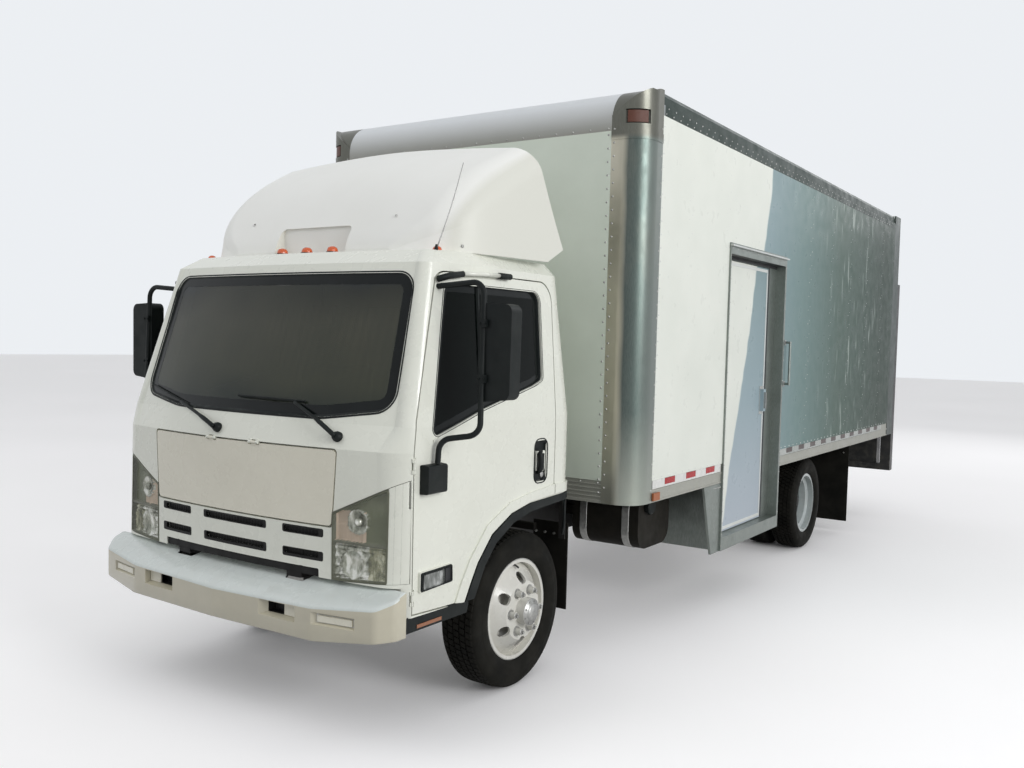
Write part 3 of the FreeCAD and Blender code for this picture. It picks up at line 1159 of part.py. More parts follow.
def tube(points, bend, radius):
    """A bent round bar through points, each corner turned on an arc of the bend radius."""
    edges, last = [], points[0]
    for before, corner, after in zip(points, points[1:], points[2:]):
        back, ahead = (before - corner).normalize(), (after - corner).normalize()
        half = back.getAngle(ahead) / 2
        reach = bend / math.tan(half)
        middle = corner + (back + ahead).normalize() * (bend / math.sin(half) - bend)
        edges += [Part.makeLine(last, corner + back * reach),
                  Part.Arc(corner + back * reach, middle, corner + ahead * reach).toShape()]
        last = corner + ahead * reach
    edges.append(Part.makeLine(last, points[-1]))
    path = Part.Wire(edges)
    ring = Part.Wire(Part.makeCircle(radius, points[0], points[1] - points[0]))
    return path.makePipeShell([ring], True, False)


def build_trim():
    """The cab's black trim: arch flares and the steps under its doors."""
    flare = arch_curve(0)[:-1] + [(414, 951), (414, 986)] + list(reversed(arch_curve(0.45)[:-1]))
    flare = cab_block(-size.trim_gauge).cut(cab_block(-size.seat_gap)).common(wide(flare, 0, 600, 1400))
    step = wide([(-962, 511), (-520, 511), (-508, 556), (-520, 574.7), (-962, 574.7)], 8, 860, 985)
    solids = [flare, step]
    solids += [piece.mirror(Vec(0, 0, 0), AXES["x"]) for piece in solids]
    return shaped("cab_trim", Part.makeCompound(solids))


def mirror_shape(hand):
    """A bent mirror arm on the door's front edge, its lower foot and the mirror head on it."""
    y = size.axle_y
    arm = tube([Vec(890, y - 690, 2020), Vec(1172, y - 700, 2040), Vec(1178, y - 716, 1372),
                Vec(1020, y - 800, 1345), Vec(1018, y - 805, 1240)], 60, 13)
    foot = plate("XZ", [(980, 1108), (1034, 1112), (1034, 1236), (984, 1240)], y - 884, y - 752, 12)
    head = plate("XZ", [(1148, 1513), (1318, 1530), (1322, 1940), (1150, 1948)], y - 705, y - 625, 36)
    clamp = [Part.makeBox(40, 30, 34, Vec(1160, y - 722, height)) for height in (1600, 1840)]
    solid = arm.fuse([foot, head] + clamp).cut(cab_block(-size.seat_gap))
    if hand < 0:
        solid = solid.mirror(Vec(0, 0, 0), AXES["x"])
    return solid


NODES = {}


def keep(node, piece):
    """Name a finished piece after its file."""
    piece.Label = node
    NODES[node] = piece


def build_all():
    keep("chassis_frame", build_frame())
    keep("front_axle_beam", build_front_axle())
    keep("leaf_springs", build_springs())
    keep("drive_axle", build_drive_axle())
    keep("powertrain", build_powertrain())
    keep("fuel_tank", build_tank())
    keep("exhaust", build_exhaust())
    keep("front_bumper", build_bumper())
    for node, piece in zip(("box_floor", "box_side_walls", "box_front_wall"), build_box()):
        keep(node, piece)
    keep("corner_posts", build_posts())
    keep("box_rails", build_rails())
    keep("box_roof", build_roof())
    keep("rear_frame", build_rear_frame())
    keep("roll_up_door", build_roll_door())
    keep("entry_frame", build_entry())
    keep("side_door", build_side_door())
    keep("lift_gate", build_lift_gate())
    keep("mud_flaps", build_flaps())
    keep("body_lamps", build_body_lamps())
    lamps = build_cab_lamps()
    lamp_room = lamps[0].fuse(lamps[1:])
    keep("cab_shell", shaped("cab_shell", cab_shell().cut(lamp_room)))
    keep("cab_lamps", shaped("cab_lamps", Part.makeCompound(lamps)))
    keep("cab_glass", shaped("cab_glass", Part.makeCompound(cab_windows())))
    keep("front_lid", shaped("front_lid", front_lid()))
    keep("roof_fairing", build_fairing())
    keep("cab_trim", build_trim())
    keep("seats", build_seats())
    keep("dashboard", build_dashboard())
    for side, hand in (("left", 1), ("right", -1)):
        panel, pane = cab_door(hand)
        keep(f"cab_door_{side}", shaped(f"cab_door_{side}", panel))
        keep(f"door_glass_{side}", shaped(f"door_glass_{side}", pane))
        keep(f"mirror_{side}", shaped(f"mirror_{side}", mirror_shape(hand)))
        keep(f"knuckle_{side}", build_knuckle(side, hand))
        rim, tyre = wheel_pair(side, hand)
        keep(f"front_rim_{side}", rim)
        keep(f"front_tyre_{side}", tyre)
        rims, tyres = dual_pair(side, hand)
        keep(f"rear_rims_{side}", rims)
        keep(f"rear_tyres_{side}", tyres)


def check_and_write():
    """Stop on any failed object, then write one file for each piece."""
    doc.recompute()
    for item in doc.Objects:
        if {"Invalid", "Error"} & set(item.State):
            raise RuntimeError(f"{item.Name} failed: {item.State}")
    os.makedirs("parts", exist_ok=True)
    for node, piece in NODES.items():
        if piece.Shape.isNull() or not piece.Shape.isValid():
            raise RuntimeError(f"{node} has no valid shape")
        piece.Shape.exportStep(f"parts/{node}.step")


build_all()
check_and_write()
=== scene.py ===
"""Looks of the box truck: materials, small parts, floor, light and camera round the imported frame."""
import math

import bmesh
import bpy
from mathutils import Matrix, Vector
from mathutils.bvhtree import BVHTree


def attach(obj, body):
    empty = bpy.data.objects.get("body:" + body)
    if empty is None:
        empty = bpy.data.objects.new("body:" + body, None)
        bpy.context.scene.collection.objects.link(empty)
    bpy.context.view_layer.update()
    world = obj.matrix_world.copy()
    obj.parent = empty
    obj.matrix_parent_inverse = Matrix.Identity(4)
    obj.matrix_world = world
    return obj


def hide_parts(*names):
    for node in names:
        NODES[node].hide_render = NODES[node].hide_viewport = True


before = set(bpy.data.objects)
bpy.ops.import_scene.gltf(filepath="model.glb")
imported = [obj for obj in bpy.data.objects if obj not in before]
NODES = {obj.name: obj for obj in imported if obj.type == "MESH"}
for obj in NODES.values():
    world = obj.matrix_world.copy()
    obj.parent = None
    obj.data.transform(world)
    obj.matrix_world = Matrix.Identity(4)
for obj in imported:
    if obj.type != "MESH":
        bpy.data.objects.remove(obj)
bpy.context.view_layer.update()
AXLE = -2.98          # front axle's place along the truck
REAR_AXLE = 1.49
HUB = 0.402            # height of the wheels' centres
SIDE = 1.219           # half width of the cargo box
FRONT = -2.26         # the cargo box's front face
REAR = 4.000
X, Y, Z = Vector((1, 0, 0)), Vector((0, 1, 0)), Vector((0, 0, 1))
HANDS = (("left", 1), ("right", -1))
AHEAD = -6.0           # a place before the truck, where rays to its front start
M = {}                 # the materials by name


# Materials

class Shader:
    """A small builder for one procedural material, in the object's own coordinates."""

    def __init__(self, name):
        self.mat = M[name] = bpy.data.materials.new(name)
        self.mat.use_nodes = True
        self.tree = self.mat.node_tree
        self.bsdf = self.tree.nodes["Principled BSDF"]
        self.place = self.node("TexCoord").outputs["Object"]

    def feed(self, socket, value):
        """Gives a socket a number, a colour or another node's output."""
        if isinstance(value, bpy.types.NodeSocket):
            self.tree.links.new(value, socket)
        else:
            socket.default_value = (*value, 1) if socket.type == "RGBA" else value

    def node(self, kind, **inputs):
        node = self.tree.nodes.new("ShaderNode" + kind)
        for name, value in inputs.items():
            self.feed(node.inputs[name], value)
        return node

    def set(self, **values):
        """Feeds the surface's inputs; an underscore stands for a space."""
        for name, value in values.items():
            self.feed(self.bsdf.inputs[name.replace("_", " ")], value)
        return self

    def scaled(self, stretch):
        return self.node("Mapping", Vector=self.place, Scale=stretch).outputs["Vector"]

    def noise(self, scale, detail, rough=0.55, stretch=(1, 1, 1)):
        return self.node("TexNoise", Vector=self.scaled(stretch), Scale=scale, Detail=detail,
                         Roughness=rough).outputs["Fac"]

    def wave(self, scale, direction="X", distortion=0.0):
        node = self.node("TexWave", Vector=self.scaled((1, 1, 1)), Scale=scale, Distortion=distortion)
        node.bands_direction = direction
        return node.outputs["Fac"]

    def axis(self, name):
        return self.node("SeparateXYZ", Vector=self.place).outputs[name]

    def math(self, kind, a, b=0.0):
        node = self.node("Math")
        node.operation = kind
        self.feed(node.inputs[0], a)
        self.feed(node.inputs[1], b)
        return node.outputs[0]

    def times(self, a, b):
        return self.math("MULTIPLY", a, b)

    def plus(self, a, b):
        return self.math("ADD", a, b)

    def share(self, name, start, end):
        """How far along an axis: nought at the start, one at the end."""
        return self.times(self.math("SUBTRACT", self.axis(name), start), 1 / (end - start))

    def across(self):
        """The distance from the truck's middle plane."""
        return self.math("ABSOLUTE", self.axis("X"))

    def ramp(self, source, stops):
        """A tone or a colour by the source's value: stops are pairs of value and tone."""
        node = self.node("ValToRGB", Fac=source)
        band = node.color_ramp
        while len(band.elements) < len(stops):
            band.elements.new(0.5)
        for element, (at, tone) in zip(band.elements, stops):
            element.position = at
            element.color = (*(tone if isinstance(tone, tuple) else (tone,) * 3), 1)
        return node.outputs["Color"]

    def rise(self, source, start, end, low=0, high=1):
        """From low to high while the source goes from start to end."""
        return self.ramp(source, [(start, low), (end, high)])

    def height(self, stops):
        """A tone by height; a place of one stands for 3.33 metres."""
        return self.ramp(self.times(self.axis("Z"), 0.3), stops)

    def cloud(self, scale, detail, low=0, high=1, start=0.3, end=0.7, stretch=(1, 1, 1)):
        """Noise that drifts from low to high."""
        return self.rise(self.noise(scale, detail, stretch=stretch), start, end, low, high)

    def mix(self, share, low, high):
        node = self.node("Mix")
        node.data_type = "RGBA"
        for socket, value in zip((node.inputs["Factor"], node.inputs[6], node.inputs[7]), (share, low, high)):
            self.feed(socket, value)
        return node.outputs[2]

    def at_rear(self, tone, rear):
        """Another colour at the truck's rear."""
        return self.mix(self.rise(self.times(self.axis("Y"), 0.25), 0.9, 0.94), tone, rear)

    def bump(self, source, strength, distance):
        node = self.node("Bump", Strength=strength, Distance=distance, Height=source)
        target = self.bsdf.inputs["Normal"]
        if target.links:
            self.feed(node.inputs["Normal"], target.links[0].from_socket)
        self.feed(target, node.outputs["Normal"])

    def sprayed(self, wave=0.0):
        """Paint's faint orange peel, and slow waves where the sheet isn't flat."""
        self.bump(self.noise(420, 2), 0.06, 0.0004)
        if wave:
            self.bump(self.noise(1.7, 2), wave, 0.004)


def dimmed(tone, share, lift=0.0):
    return tuple(v * share + lift for v in tone)


def painted(name, low, high, rough=(0.22, 0.34), coat=0.4, wave=0.0, dirt=(0.42, 0.38, 0.32), painted_side_shade=None,
            painted_under_shade=False):
    """Gloss paint with dust low down; optional painted shade on side faces and, black, under the cab's
    middle.
    """
    s = Shader(name).set(Coat_Weight=coat, Coat_Roughness=0.08, IOR=1.48)
    dust = s.times(s.rise(s.axis("Z"), 0.45, 0.95, 1, 0), s.cloud(14, 8, 0, 0.2, 0.45, 0.8))
    tone = s.mix(dust, s.mix(s.cloud(2.3, 6), low, high), dirt)
    # painted shade: faces that look sideways get a darker tone
    if painted_side_shade:
        facing = s.node("SeparateXYZ", Vector=s.node("NewGeometry").outputs["Normal"]).outputs["X"]
        tone = s.mix(s.rise(s.math("ABSOLUTE", facing), 0.52, 0.72), tone, painted_side_shade)
    # painted shade: black under the cab's middle, beneath the nose
    if painted_under_shade:
        within = s.times(s.rise(s.across(), 0.58, 0.6, 1, 0), s.rise(s.axis("Z"), 0.705, 0.7058, 1, 0))
        tone = s.mix(within, tone, (0.01, 0.01, 0.009))
    s.set(Base_Color=tone, Roughness=s.cloud(9, 6, *rough)).sprayed(wave)


def metal(name, low, high, rough=(0.3, 0.5), brush=(1, 1, 1), spangle=0.0, stains=0.3, flank=None):
    """Mill-finish metal with drawn lines, a galvanised spangle, stains and another tone on the flanks."""
    s = Shader(name).set(Metallic=0.4 if flank else 0.9)
    grain = s.noise(60, 6, stretch=brush)
    tone = s.mix(s.rise(grain, 0.3, 0.7), low, high)
    if spangle:
        cells = s.node("TexVoronoi", Vector=s.scaled((1, 1, 1)), Scale=55).outputs["Distance"]
        tone = s.mix(s.rise(cells, 0.1, 0.6, 0, spangle), tone, high)
    if flank:
        tone = s.mix(s.rise(s.times(s.across(), 0.5), 0.602, 0.604), tone, flank)
    tone = s.mix(s.cloud(5.5, 8, 0, stains, 0.5, 0.85), tone, dimmed(low, 0.5))
    s.set(Base_Color=tone, Roughness=s.cloud(11, 6, *rough)).bump(grain, 0.1, 0.0006)


def plastic(name, low, high, rough=(0.4, 0.6), grain=700, bump=0.25, shine=0.22):
    """Moulded plastic or rubber with a fine grain and scuffs."""
    s = Shader(name)
    s.set(Specular_IOR_Level=shine, Base_Color=s.mix(s.cloud(7, 8, 0, 1, 0.35, 0.75), low, high),
          Roughness=s.cloud(13, 6, *rough)).bump(s.noise(grain, 3), bump, 0.0003)


def shadow_edged_panel(name, lean, edge, axis, span, tones, sun_flecks=0.0):
    """A satin white panel under painted shadow: behind a leaning edge the white gives way to blue-grey shade
    tones.
    """
    s = Shader(name)
    place = s.math("SUBTRACT", s.axis("Y"), s.times(s.axis("Z"), lean))
    place = s.plus(place, s.times(s.noise(1.7, 3), 0.16))
    # painted shadow: its edge leans and wavers across the panel
    behind = s.rise(s.plus(place, 0.42 - edge), 0.492, 0.515)
    along = s.share(axis, *span)
    far = s.ramp(along, tones)
    # painted flecks of sunlight in the shadow
    if sun_flecks:
        spots = s.cloud(2.4, 2, 0, sun_flecks, 0.6, 0.7, (1, 4.5, 0.9))
        where = s.ramp(along, [(0.35, 0), (0.65, 1), (0.85, 1), (0.97, 0)])
        far = s.mix(s.times(spots, where), far, (0.5, 0.57, 0.53))
    white = s.mix(s.cloud(2.1, 6), (0.77, 0.795, 0.735), (0.83, 0.85, 0.79))
    s.set(Specular_IOR_Level=0.06, Base_Color=s.mix(behind, white, far), Roughness=s.cloud(9, 6, 0.25, 0.42))
    s.sprayed(0.5)


def shaded_post_metal():
    """Rolled corner posts: painted light and shade as warm, dark and grey tones round the corner, with drawn
    streaks.
    """
    s = Shader("shaded_post_metal").set(Metallic=0.7)
    # painted light and shade: the tone follows the turn from the front face round to the side
    turn = s.times(s.plus(s.plus(s.across(), s.axis("Y")), -1.0 - FRONT), 2.0)
    wander = s.times(s.noise(1.4, 3, stretch=(1, 1, 0.8)), 0.16)
    tone = s.ramp(s.math("SUBTRACT", s.plus(turn, wander), 0.08), [
        (0.0, (0.56, 0.53, 0.43)), (0.15, (0.48, 0.45, 0.36)), (0.23, (0.062, 0.082, 0.075)),
        (0.46, (0.075, 0.105, 0.095)), (0.6, (0.14, 0.17, 0.155)), (0.88, (0.2, 0.225, 0.21))])
    grain = s.noise(60, 6, stretch=(14, 14, 0.5))
    for share, over in ((s.cloud(0.9, 4, 0, 0.6, 0.45, 0.75, (3, 3, 1)), (0.24, 0.235, 0.195)),
                        (s.height([(0.878, 0), (0.885, 1)]), (0.115, 0.115, 0.095)),
                        (s.height([(0.27, 0.6), (0.42, 0)]), (0.4, 0.42, 0.365)),
                        (s.rise(grain, 0.35, 0.75, 0, 0.16), (0.42, 0.43, 0.4))):
        tone = s.mix(share, tone, over)
    s.set(Base_Color=tone, Roughness=s.cloud(11, 6, 0.28, 0.42)).bump(grain, 0.1, 0.0006)


def rail_metal():
    """Box rails: dull low down, a cove over the front wall with painted shading, pale above and grey below,
    and dark greenish ones along the roof.
    """
    s = Shader("rail_metal").set(Metallic=0.2, Specular_IOR_Level=0.1)
    grain = s.noise(60, 6, stretch=(14, 0.6, 14))
    low = s.mix(s.rise(grain, 0.3, 0.7), (0.34, 0.34, 0.3), (0.46, 0.46, 0.42))
    # painted shading: the cove is grey low down and pale, sky-lit, at its top
    cove = s.rise(s.share("Z", 2.96, 3.21), 0, 0.8, (0.3, 0.295, 0.26), (0.7, 0.72, 0.74))
    dark = s.mix(s.rise(grain, 0.3, 0.7), (0.014, 0.026, 0.022), (0.036, 0.056, 0.048))
    rear = s.rise(s.plus(s.axis("Y"), 2.5), 0.44, 0.48)
    tone = s.mix(s.height([(0.55, 0), (0.6, 1)]), low, s.mix(rear, cove, dark))
    s.set(Base_Color=tone, Roughness=s.cloud(11, 6, 0.32, 0.5)).bump(grain, 0.1, 0.0006)


def floor_steel():
    """The box floor: black below its top as painted shade, dull steel on it."""
    low = (0.01, 0.01, 0.009)
    s = Shader("floor_steel").set(Coat_Weight=0.4, Coat_Roughness=0.08, IOR=1.48)
    # painted shade: everything below the floor's top is black
    tone = s.mix(s.rise(s.share("Z", 0.98, 0.992), 0, 1), low, (0.22, 0.22, 0.2))
    tone = s.mix(s.cloud(3.1, 6, 0, 0.35, 0.4, 0.8), tone, dimmed(low, 0.9))
    s.set(Base_Color=tone, Roughness=s.cloud(9, 6, 0.22, 0.34)).sprayed()


def reflector(name, dark, middle, bright):
    """A lamp's mirrored bowl: streaks of what it reflects."""
    s = Shader(name)
    streaks = s.noise(26, 3, 0.6, (1, 1, 0.45))
    tone = s.ramp(streaks, [(0.34, dark), (0.5, middle), (0.62, bright)])
    s.set(Metallic=0.5, Coat_Weight=0.4, Roughness=s.cloud(15, 4, 0.14, 0.3), Base_Color=tone)
    s.bump(streaks, 0.4, 0.002)


def glass(name, tint, rough=0.02, alpha=0.5, shine=0.7, reflection_bands=None):
    """Tinted glazing, partly see-through, with faint dust; painted reflections are tones by height that drift
    a little, with streaks.
    """
    s = Shader(name).set(IOR=1.5, Coat_Weight=0.3 * shine, Alpha=alpha, Specular_IOR_Level=shine)
    tone = tint
    if reflection_bands:
        # painted reflections: tones by height with wavy streaks
        drift = s.times(s.plus(s.noise(1.3, 2), -0.5), 0.14)
        height = s.plus(s.times(s.axis("Z"), 0.3), drift)
        tone = s.mix(s.rise(s.wave(7, "X", 1.5), 0.2, 0.8, 0, 0.22), s.ramp(height, reflection_bands), tint)
    s.set(Base_Color=s.mix(s.cloud(6, 6, 0, 0.6, 0.3, 0.8), tone, dimmed(tint, 1.25, 0.004)),
          Roughness=s.cloud(15, 6, rough, rough + 0.02, 0.4, 0.8))
    s.mat.surface_render_method = "BLENDED"


def lamp(name, tint, glow=0.0, scale=90, rear=None):
    """A ribbed coloured lens, with another colour at the truck's rear."""
    s = Shader(name)
    tone = s.mix(s.rise(s.wave(scale), 0.2, 0.8), dimmed(tint, 0.7), tint)
    if rear:
        tone = s.at_rear(tone, rear)
    s.set(IOR=1.5, Coat_Weight=0.5, Roughness=0.18, Base_Color=tone)
    s.set(Emission_Color=tone, Emission_Strength=glow).bump(s.wave(scale), 0.5, 0.001)


def box_amber():
    """The box's lamps: dull brown up on the corners, orange low down, red at the rear."""
    s = Shader("box_amber").set(Specular_IOR_Level=0.3, Roughness=0.35)
    tone = s.height([(0.5, (0.42, 0.13, 0.045)), (0.7, (0.13, 0.045, 0.028))])
    tone = s.at_rear(tone, (0.42, 0.012, 0.01))
    s.set(Base_Color=s.mix(s.rise(s.wave(90), 0.2, 0.8, 0, 0.3), tone, (0.03, 0.02, 0.015)))
    s.bump(s.wave(90), 0.5, 0.001)


def fabric(name, low, high):
    """Woven seat cloth."""
    s = Shader(name).set(Roughness=0.92, Sheen_Weight=0.3)
    weave = s.times(s.wave(180), s.wave(180, "Z"))
    threads = s.rise(s.plus(weave, s.noise(20, 6)), 0.4, 1.0)
    s.set(Base_Color=s.mix(threads, low, high)).bump(weave, 0.5, 0.0006)


# painted shade: the cab's white turns black under its middle
painted("cab_white", (0.755, 0.765, 0.685), (0.805, 0.815, 0.735), painted_under_shade=True)
painted("lid_white", (0.74, 0.71, 0.6), (0.81, 0.78, 0.665))
# painted shade: the fairing's side faces are darker than its front
painted("fairing_white", (0.87, 0.87, 0.835), (0.9, 0.9, 0.87), (0.45, 0.55), 0.05, painted_side_shade=(0.74, 0.74, 0.675))
painted("bumper_white", (0.5, 0.465, 0.355), (0.58, 0.545, 0.43), (0.14, 0.24), 0.7)
# painted light: the pale blue-white that the sky lights on the bumper's top
painted("bumper_sky_lit_top", (0.6, 0.645, 0.625), (0.66, 0.705, 0.69))
painted("panel_white", (0.74, 0.765, 0.74), (0.82, 0.835, 0.81), (0.25, 0.42), 0.3, 0.5)
painted("front_panel", (0.68, 0.74, 0.65), (0.76, 0.82, 0.73), (0.35, 0.5), 0.1, 0.3)
painted("roof_white", (0.72, 0.73, 0.72), (0.8, 0.81, 0.8), (0.35, 0.5), 0.1, 0.3)
painted("rivet_white", (0.66, 0.68, 0.66), (0.76, 0.775, 0.75), (0.3, 0.45), 0.2)
painted("wheel_white", (0.62, 0.61, 0.56), (0.72, 0.71, 0.66), (0.2, 0.35))
# painted shade: the rear rims' white darkened to bluish grey
painted("wheel_shade", (0.4, 0.44, 0.44), (0.5, 0.54, 0.54), (0.2, 0.35), 0.3)
painted("chassis", (0.004, 0.004, 0.004), (0.01, 0.009, 0.008), (0.5, 0.75), 0.0, dirt=(0.04, 0.035, 0.03))
painted("gate_black", (0.01, 0.011, 0.011), (0.022, 0.022, 0.022), (0.4, 0.6), 0.1)
metal("aluminium", (0.5, 0.51, 0.49), (0.66, 0.67, 0.65), (0.26, 0.42), (14, 14, 0.6))
metal("entry_metal", (0.17, 0.19, 0.175), (0.32, 0.35, 0.325), (0.32, 0.48), (14, 14, 0.6))
metal("galvanised", (0.44, 0.47, 0.45), (0.62, 0.65, 0.62), (0.35, 0.5), spangle=0.7)
metal("rear_post", (0.44, 0.47, 0.45), (0.62, 0.65, 0.62), (0.35, 0.5), spangle=0.7,
      flank=(0.03, 0.045, 0.04))
metal("steel", (0.3, 0.3, 0.29), (0.45, 0.45, 0.43), (0.35, 0.55))
metal("chrome", (0.75, 0.75, 0.74), (0.86, 0.86, 0.85), (0.06, 0.14), stains=0.08)
metal("mirror_glass", (0.6, 0.62, 0.64), (0.72, 0.74, 0.76), (0.03, 0.08), stains=0.05)
plastic("black_plastic", (0.005, 0.007, 0.007), (0.013, 0.016, 0.015), shine=0.18)
plastic("rubber", (0.006, 0.006, 0.005), (0.018, 0.017, 0.014), (0.7, 0.9), 500, shine=0.12)
plastic("tank_brown", (0.007, 0.006, 0.004), (0.016, 0.014, 0.01), (0.6, 0.8), 60, 0.1)
plastic("dark_trim", (0.03, 0.031, 0.033), (0.06, 0.06, 0.062))
plastic("bezel_grey", (0.1, 0.105, 0.075), (0.17, 0.175, 0.13), (0.3, 0.45))
# painted reflection: the dark olive that the headlamp's upper right reflects
plastic("lamp_dark_reflection", (0.1, 0.115, 0.065), (0.2, 0.215, 0.14), (0.15, 0.3), 90, 0.15)
plastic("frit", (0.003, 0.005, 0.005), (0.008, 0.01, 0.01), (0.12, 0.22), 900, 0.05, 0.2)
plastic("seam_grey", (0.26, 0.25, 0.22), (0.38, 0.37, 0.33))
plastic("grille_dark", (0.006, 0.006, 0.006), (0.014, 0.014, 0.013), (0.5, 0.7), 90, 0.1)
plastic("tape_white", (0.7, 0.7, 0.68), (0.8, 0.8, 0.78), (0.2, 0.35), 260, 0.3)
plastic("tape_red", (0.36, 0.012, 0.016), (0.47, 0.022, 0.026), (0.2, 0.35), 260, 0.3)
# painted shade: shaded copies of the white and the red tape, for behind the side door
plastic("tape_white_in_shade", (0.36, 0.38, 0.36), (0.46, 0.48, 0.46), (0.2, 0.35), 260, 0.3)
plastic("tape_shade", (0.06, 0.045, 0.042), (0.1, 0.07, 0.065), (0.3, 0.4), 260, 0.3)
reflector("reflector", (0.07, 0.075, 0.05), (0.4, 0.41, 0.34), (0.82, 0.82, 0.77))
# painted reflection: the olive streaks in the lower headlamp's right bowl
reflector("lamp_olive_reflection", (0.06, 0.065, 0.035), (0.22, 0.22, 0.13), (0.55, 0.54, 0.4))
reflector("side_lens", (0.1, 0.11, 0.1), (0.22, 0.23, 0.22), (0.45, 0.46, 0.45))
lamp("amber", (0.7, 0.105, 0.012), 0.05, rear=(0.42, 0.012, 0.01))
lamp("amber_soft", (0.8, 0.62, 0.46), scale=120)
lamp("red_lens", (0.45, 0.015, 0.01), 0.02, 120)
lamp("step_amber", (0.28, 0.09, 0.025), scale=120)
glass("lens", (0.42, 0.43, 0.36), 0.03, 0.14)
glass("door_glass", (0.001, 0.0025, 0.002), 0.02, 0.93, 0.08)
# painted reflections by height on the windshield: olive in the middle, blue at the top
glass("glass", (0.03, 0.034, 0.024), 0.02, 0.78, 0.3, [
    (0.42, (0.01, 0.018, 0.014)), (0.47, (0.058, 0.062, 0.04)), (0.55, (0.074, 0.074, 0.054)),
    (0.6, (0.028, 0.03, 0.024)), (0.63, (0.008, 0.016, 0.028))])
# painted shadow over the rear of the box's sides, and by height over the side door
shadow_edged_panel("side_panel", 0.19, -0.759, "Y", (-0.28, 3.32), [
    (0.0, (0.265, 0.36, 0.39)), (0.25, (0.175, 0.26, 0.255)), (0.55, (0.088, 0.135, 0.114)),
    (1.0, (0.036, 0.06, 0.046))], 0.6)
shadow_edged_panel("door_panel", 0.28, -0.93, "Z", (0.5, 2.35), [
    (0.0, (0.46, 0.51, 0.57)), (0.5, (0.33, 0.42, 0.46)), (0.97, (0.27, 0.36, 0.38))])
fabric("seat_cloth", (0.05, 0.052, 0.056), (0.12, 0.122, 0.128))
shaded_post_metal()
rail_metal()
floor_steel()
box_amber()

FINISH = {     # the nodes that wear each material
    "chassis": "chassis_frame front_axle_beam leaf_springs drive_axle knuckle_left knuckle_right",
    "steel": "powertrain exhaust", "tank_brown": "fuel_tank", "bumper_white": "front_bumper",
    "floor_steel": "box_floor", "side_panel": "box_side_walls", "front_panel": "box_front_wall",
    "shaded_post_metal": "corner_posts", "rail_metal": "box_rails", "roof_white": "box_roof",
    "rear_post": "rear_frame", "panel_white": "roll_up_door", "entry_metal": "entry_frame",
    "door_panel": "side_door", "gate_black": "lift_gate", "box_amber": "body_lamps", "amber": "cab_lamps",
    "cab_white": "cab_shell cab_door_left cab_door_right", "glass": "cab_glass",
    "door_glass": "door_glass_left door_glass_right",
    "black_plastic": "cab_trim mirror_left mirror_right", "lid_white": "front_lid",
    "fairing_white": "roof_fairing", "seat_cloth": "seats", "dark_trim": "dashboard",
    "wheel_white": "front_rim_left front_rim_right", "wheel_shade": "rear_rims_left rear_rims_right",
    "rubber": "mud_flaps front_tyre_left front_tyre_right rear_tyres_left rear_tyres_right",
}
for look, names in FINISH.items():
    for name in names.split():
        NODES[name].data.materials.clear()
        NODES[name].data.materials.append(M[look])


# Shapes for the small parts: each gives points and faces, which a piece collects

def brick(low, high):
    """A block between two corners."""
    x, y, z = zip(low, high)
    points = [(x[i & 1], y[i >> 1 & 1], z[i >> 2]) for i in range(8)]
    return points, [(0, 2, 3, 1), (4, 5, 7, 6), (0, 1, 5, 4), (1, 3, 7, 5), (3, 2, 6, 7), (2, 0, 4, 6)]


def frame_of(normal):
    """Two directions across a normal."""
    normal = Vector(normal).normalized()
    side = normal.cross(Z if abs(normal.z) < 0.9 else X).normalized()
    return side, normal.cross(side).normalized(), normal


def ring_faces(rows, count, closed=False):
    """The faces between rings of points that follow each other."""
    faces = []
    for row in range(rows if closed else rows - 1):
        a, b = row * count, (row + 1) % rows * count
        faces += [(a + k, a + (k + 1) % count, b + (k + 1) % count, b + k) for k in range(count)]
    return faces


def lathe(centre, axis, profile, count=24, closed=False):
    """A profile of radius and height pairs turned about an axis."""
    u, v, n = frame_of(axis)
    turns = [2 * math.pi * k / count for k in range(count)]
    points = [Vector(centre) + n * height + (u * math.cos(turn) + v * math.sin(turn)) * radius
              for radius, height in profile for turn in turns]
    return points, ring_faces(len(profile), count, closed)


def rivet(centre, normal, radius=0.006, height=0.0035, count=8):
    """A rivet's low dome."""
    dome = [(radius, 0), (radius * 0.75, height * 0.7), (radius * 0.3, height)]
    points, faces = lathe(centre, normal, dome, count)
    return points, faces + [tuple(range(2 * count, 3 * count))]


def pipe(path, radius, count=10):
    """A round bar along a line of points, closed at both ends; it may have a radius for each point."""
    path = [Vector(p) for p in path]
    last = len(path) - 1
    points = []
    ahead = (path[1] - path[0]).normalized()
    u, v, _ = frame_of(ahead)
    for k, place in enumerate(path):
        after = (path[min(k + 1, last)] - path[max(k - 1, 0)]).normalized()
        turn = ahead.rotation_difference(after)
        u, v, ahead = turn @ u, turn @ v, after
        size = radius[k] if isinstance(radius, list) else radius
        for step in range(count):
            angle = 2 * math.pi * step / count
            points.append(place + (u * math.cos(angle) + v * math.sin(angle)) * size)
    ends = [tuple(reversed(range(count))), tuple(range(last * count, (last + 1) * count))]
    return points, ring_faces(last + 1, count) + ends


def curve_through(points, steps=6):
    """More points on a smooth line through the given ones."""
    points = [Vector(p) for p in points]
    line = []
    for k in range(len(points) - 1):
        p0, p1, p2, p3 = points[max(k - 1, 0)], points[k], points[k + 1], points[min(k + 2, len(points) - 1)]
        for step in range(steps):
            t = step / steps
            line.append(0.5 * (2 * p1 + (p2 - p0) * t + (2 * p0 - 5 * p1 + 4 * p2 - p3) * t * t
                               + (3 * p1 - p0 - 3 * p2 + p3) * t ** 3))
    return line + [points[-1]]


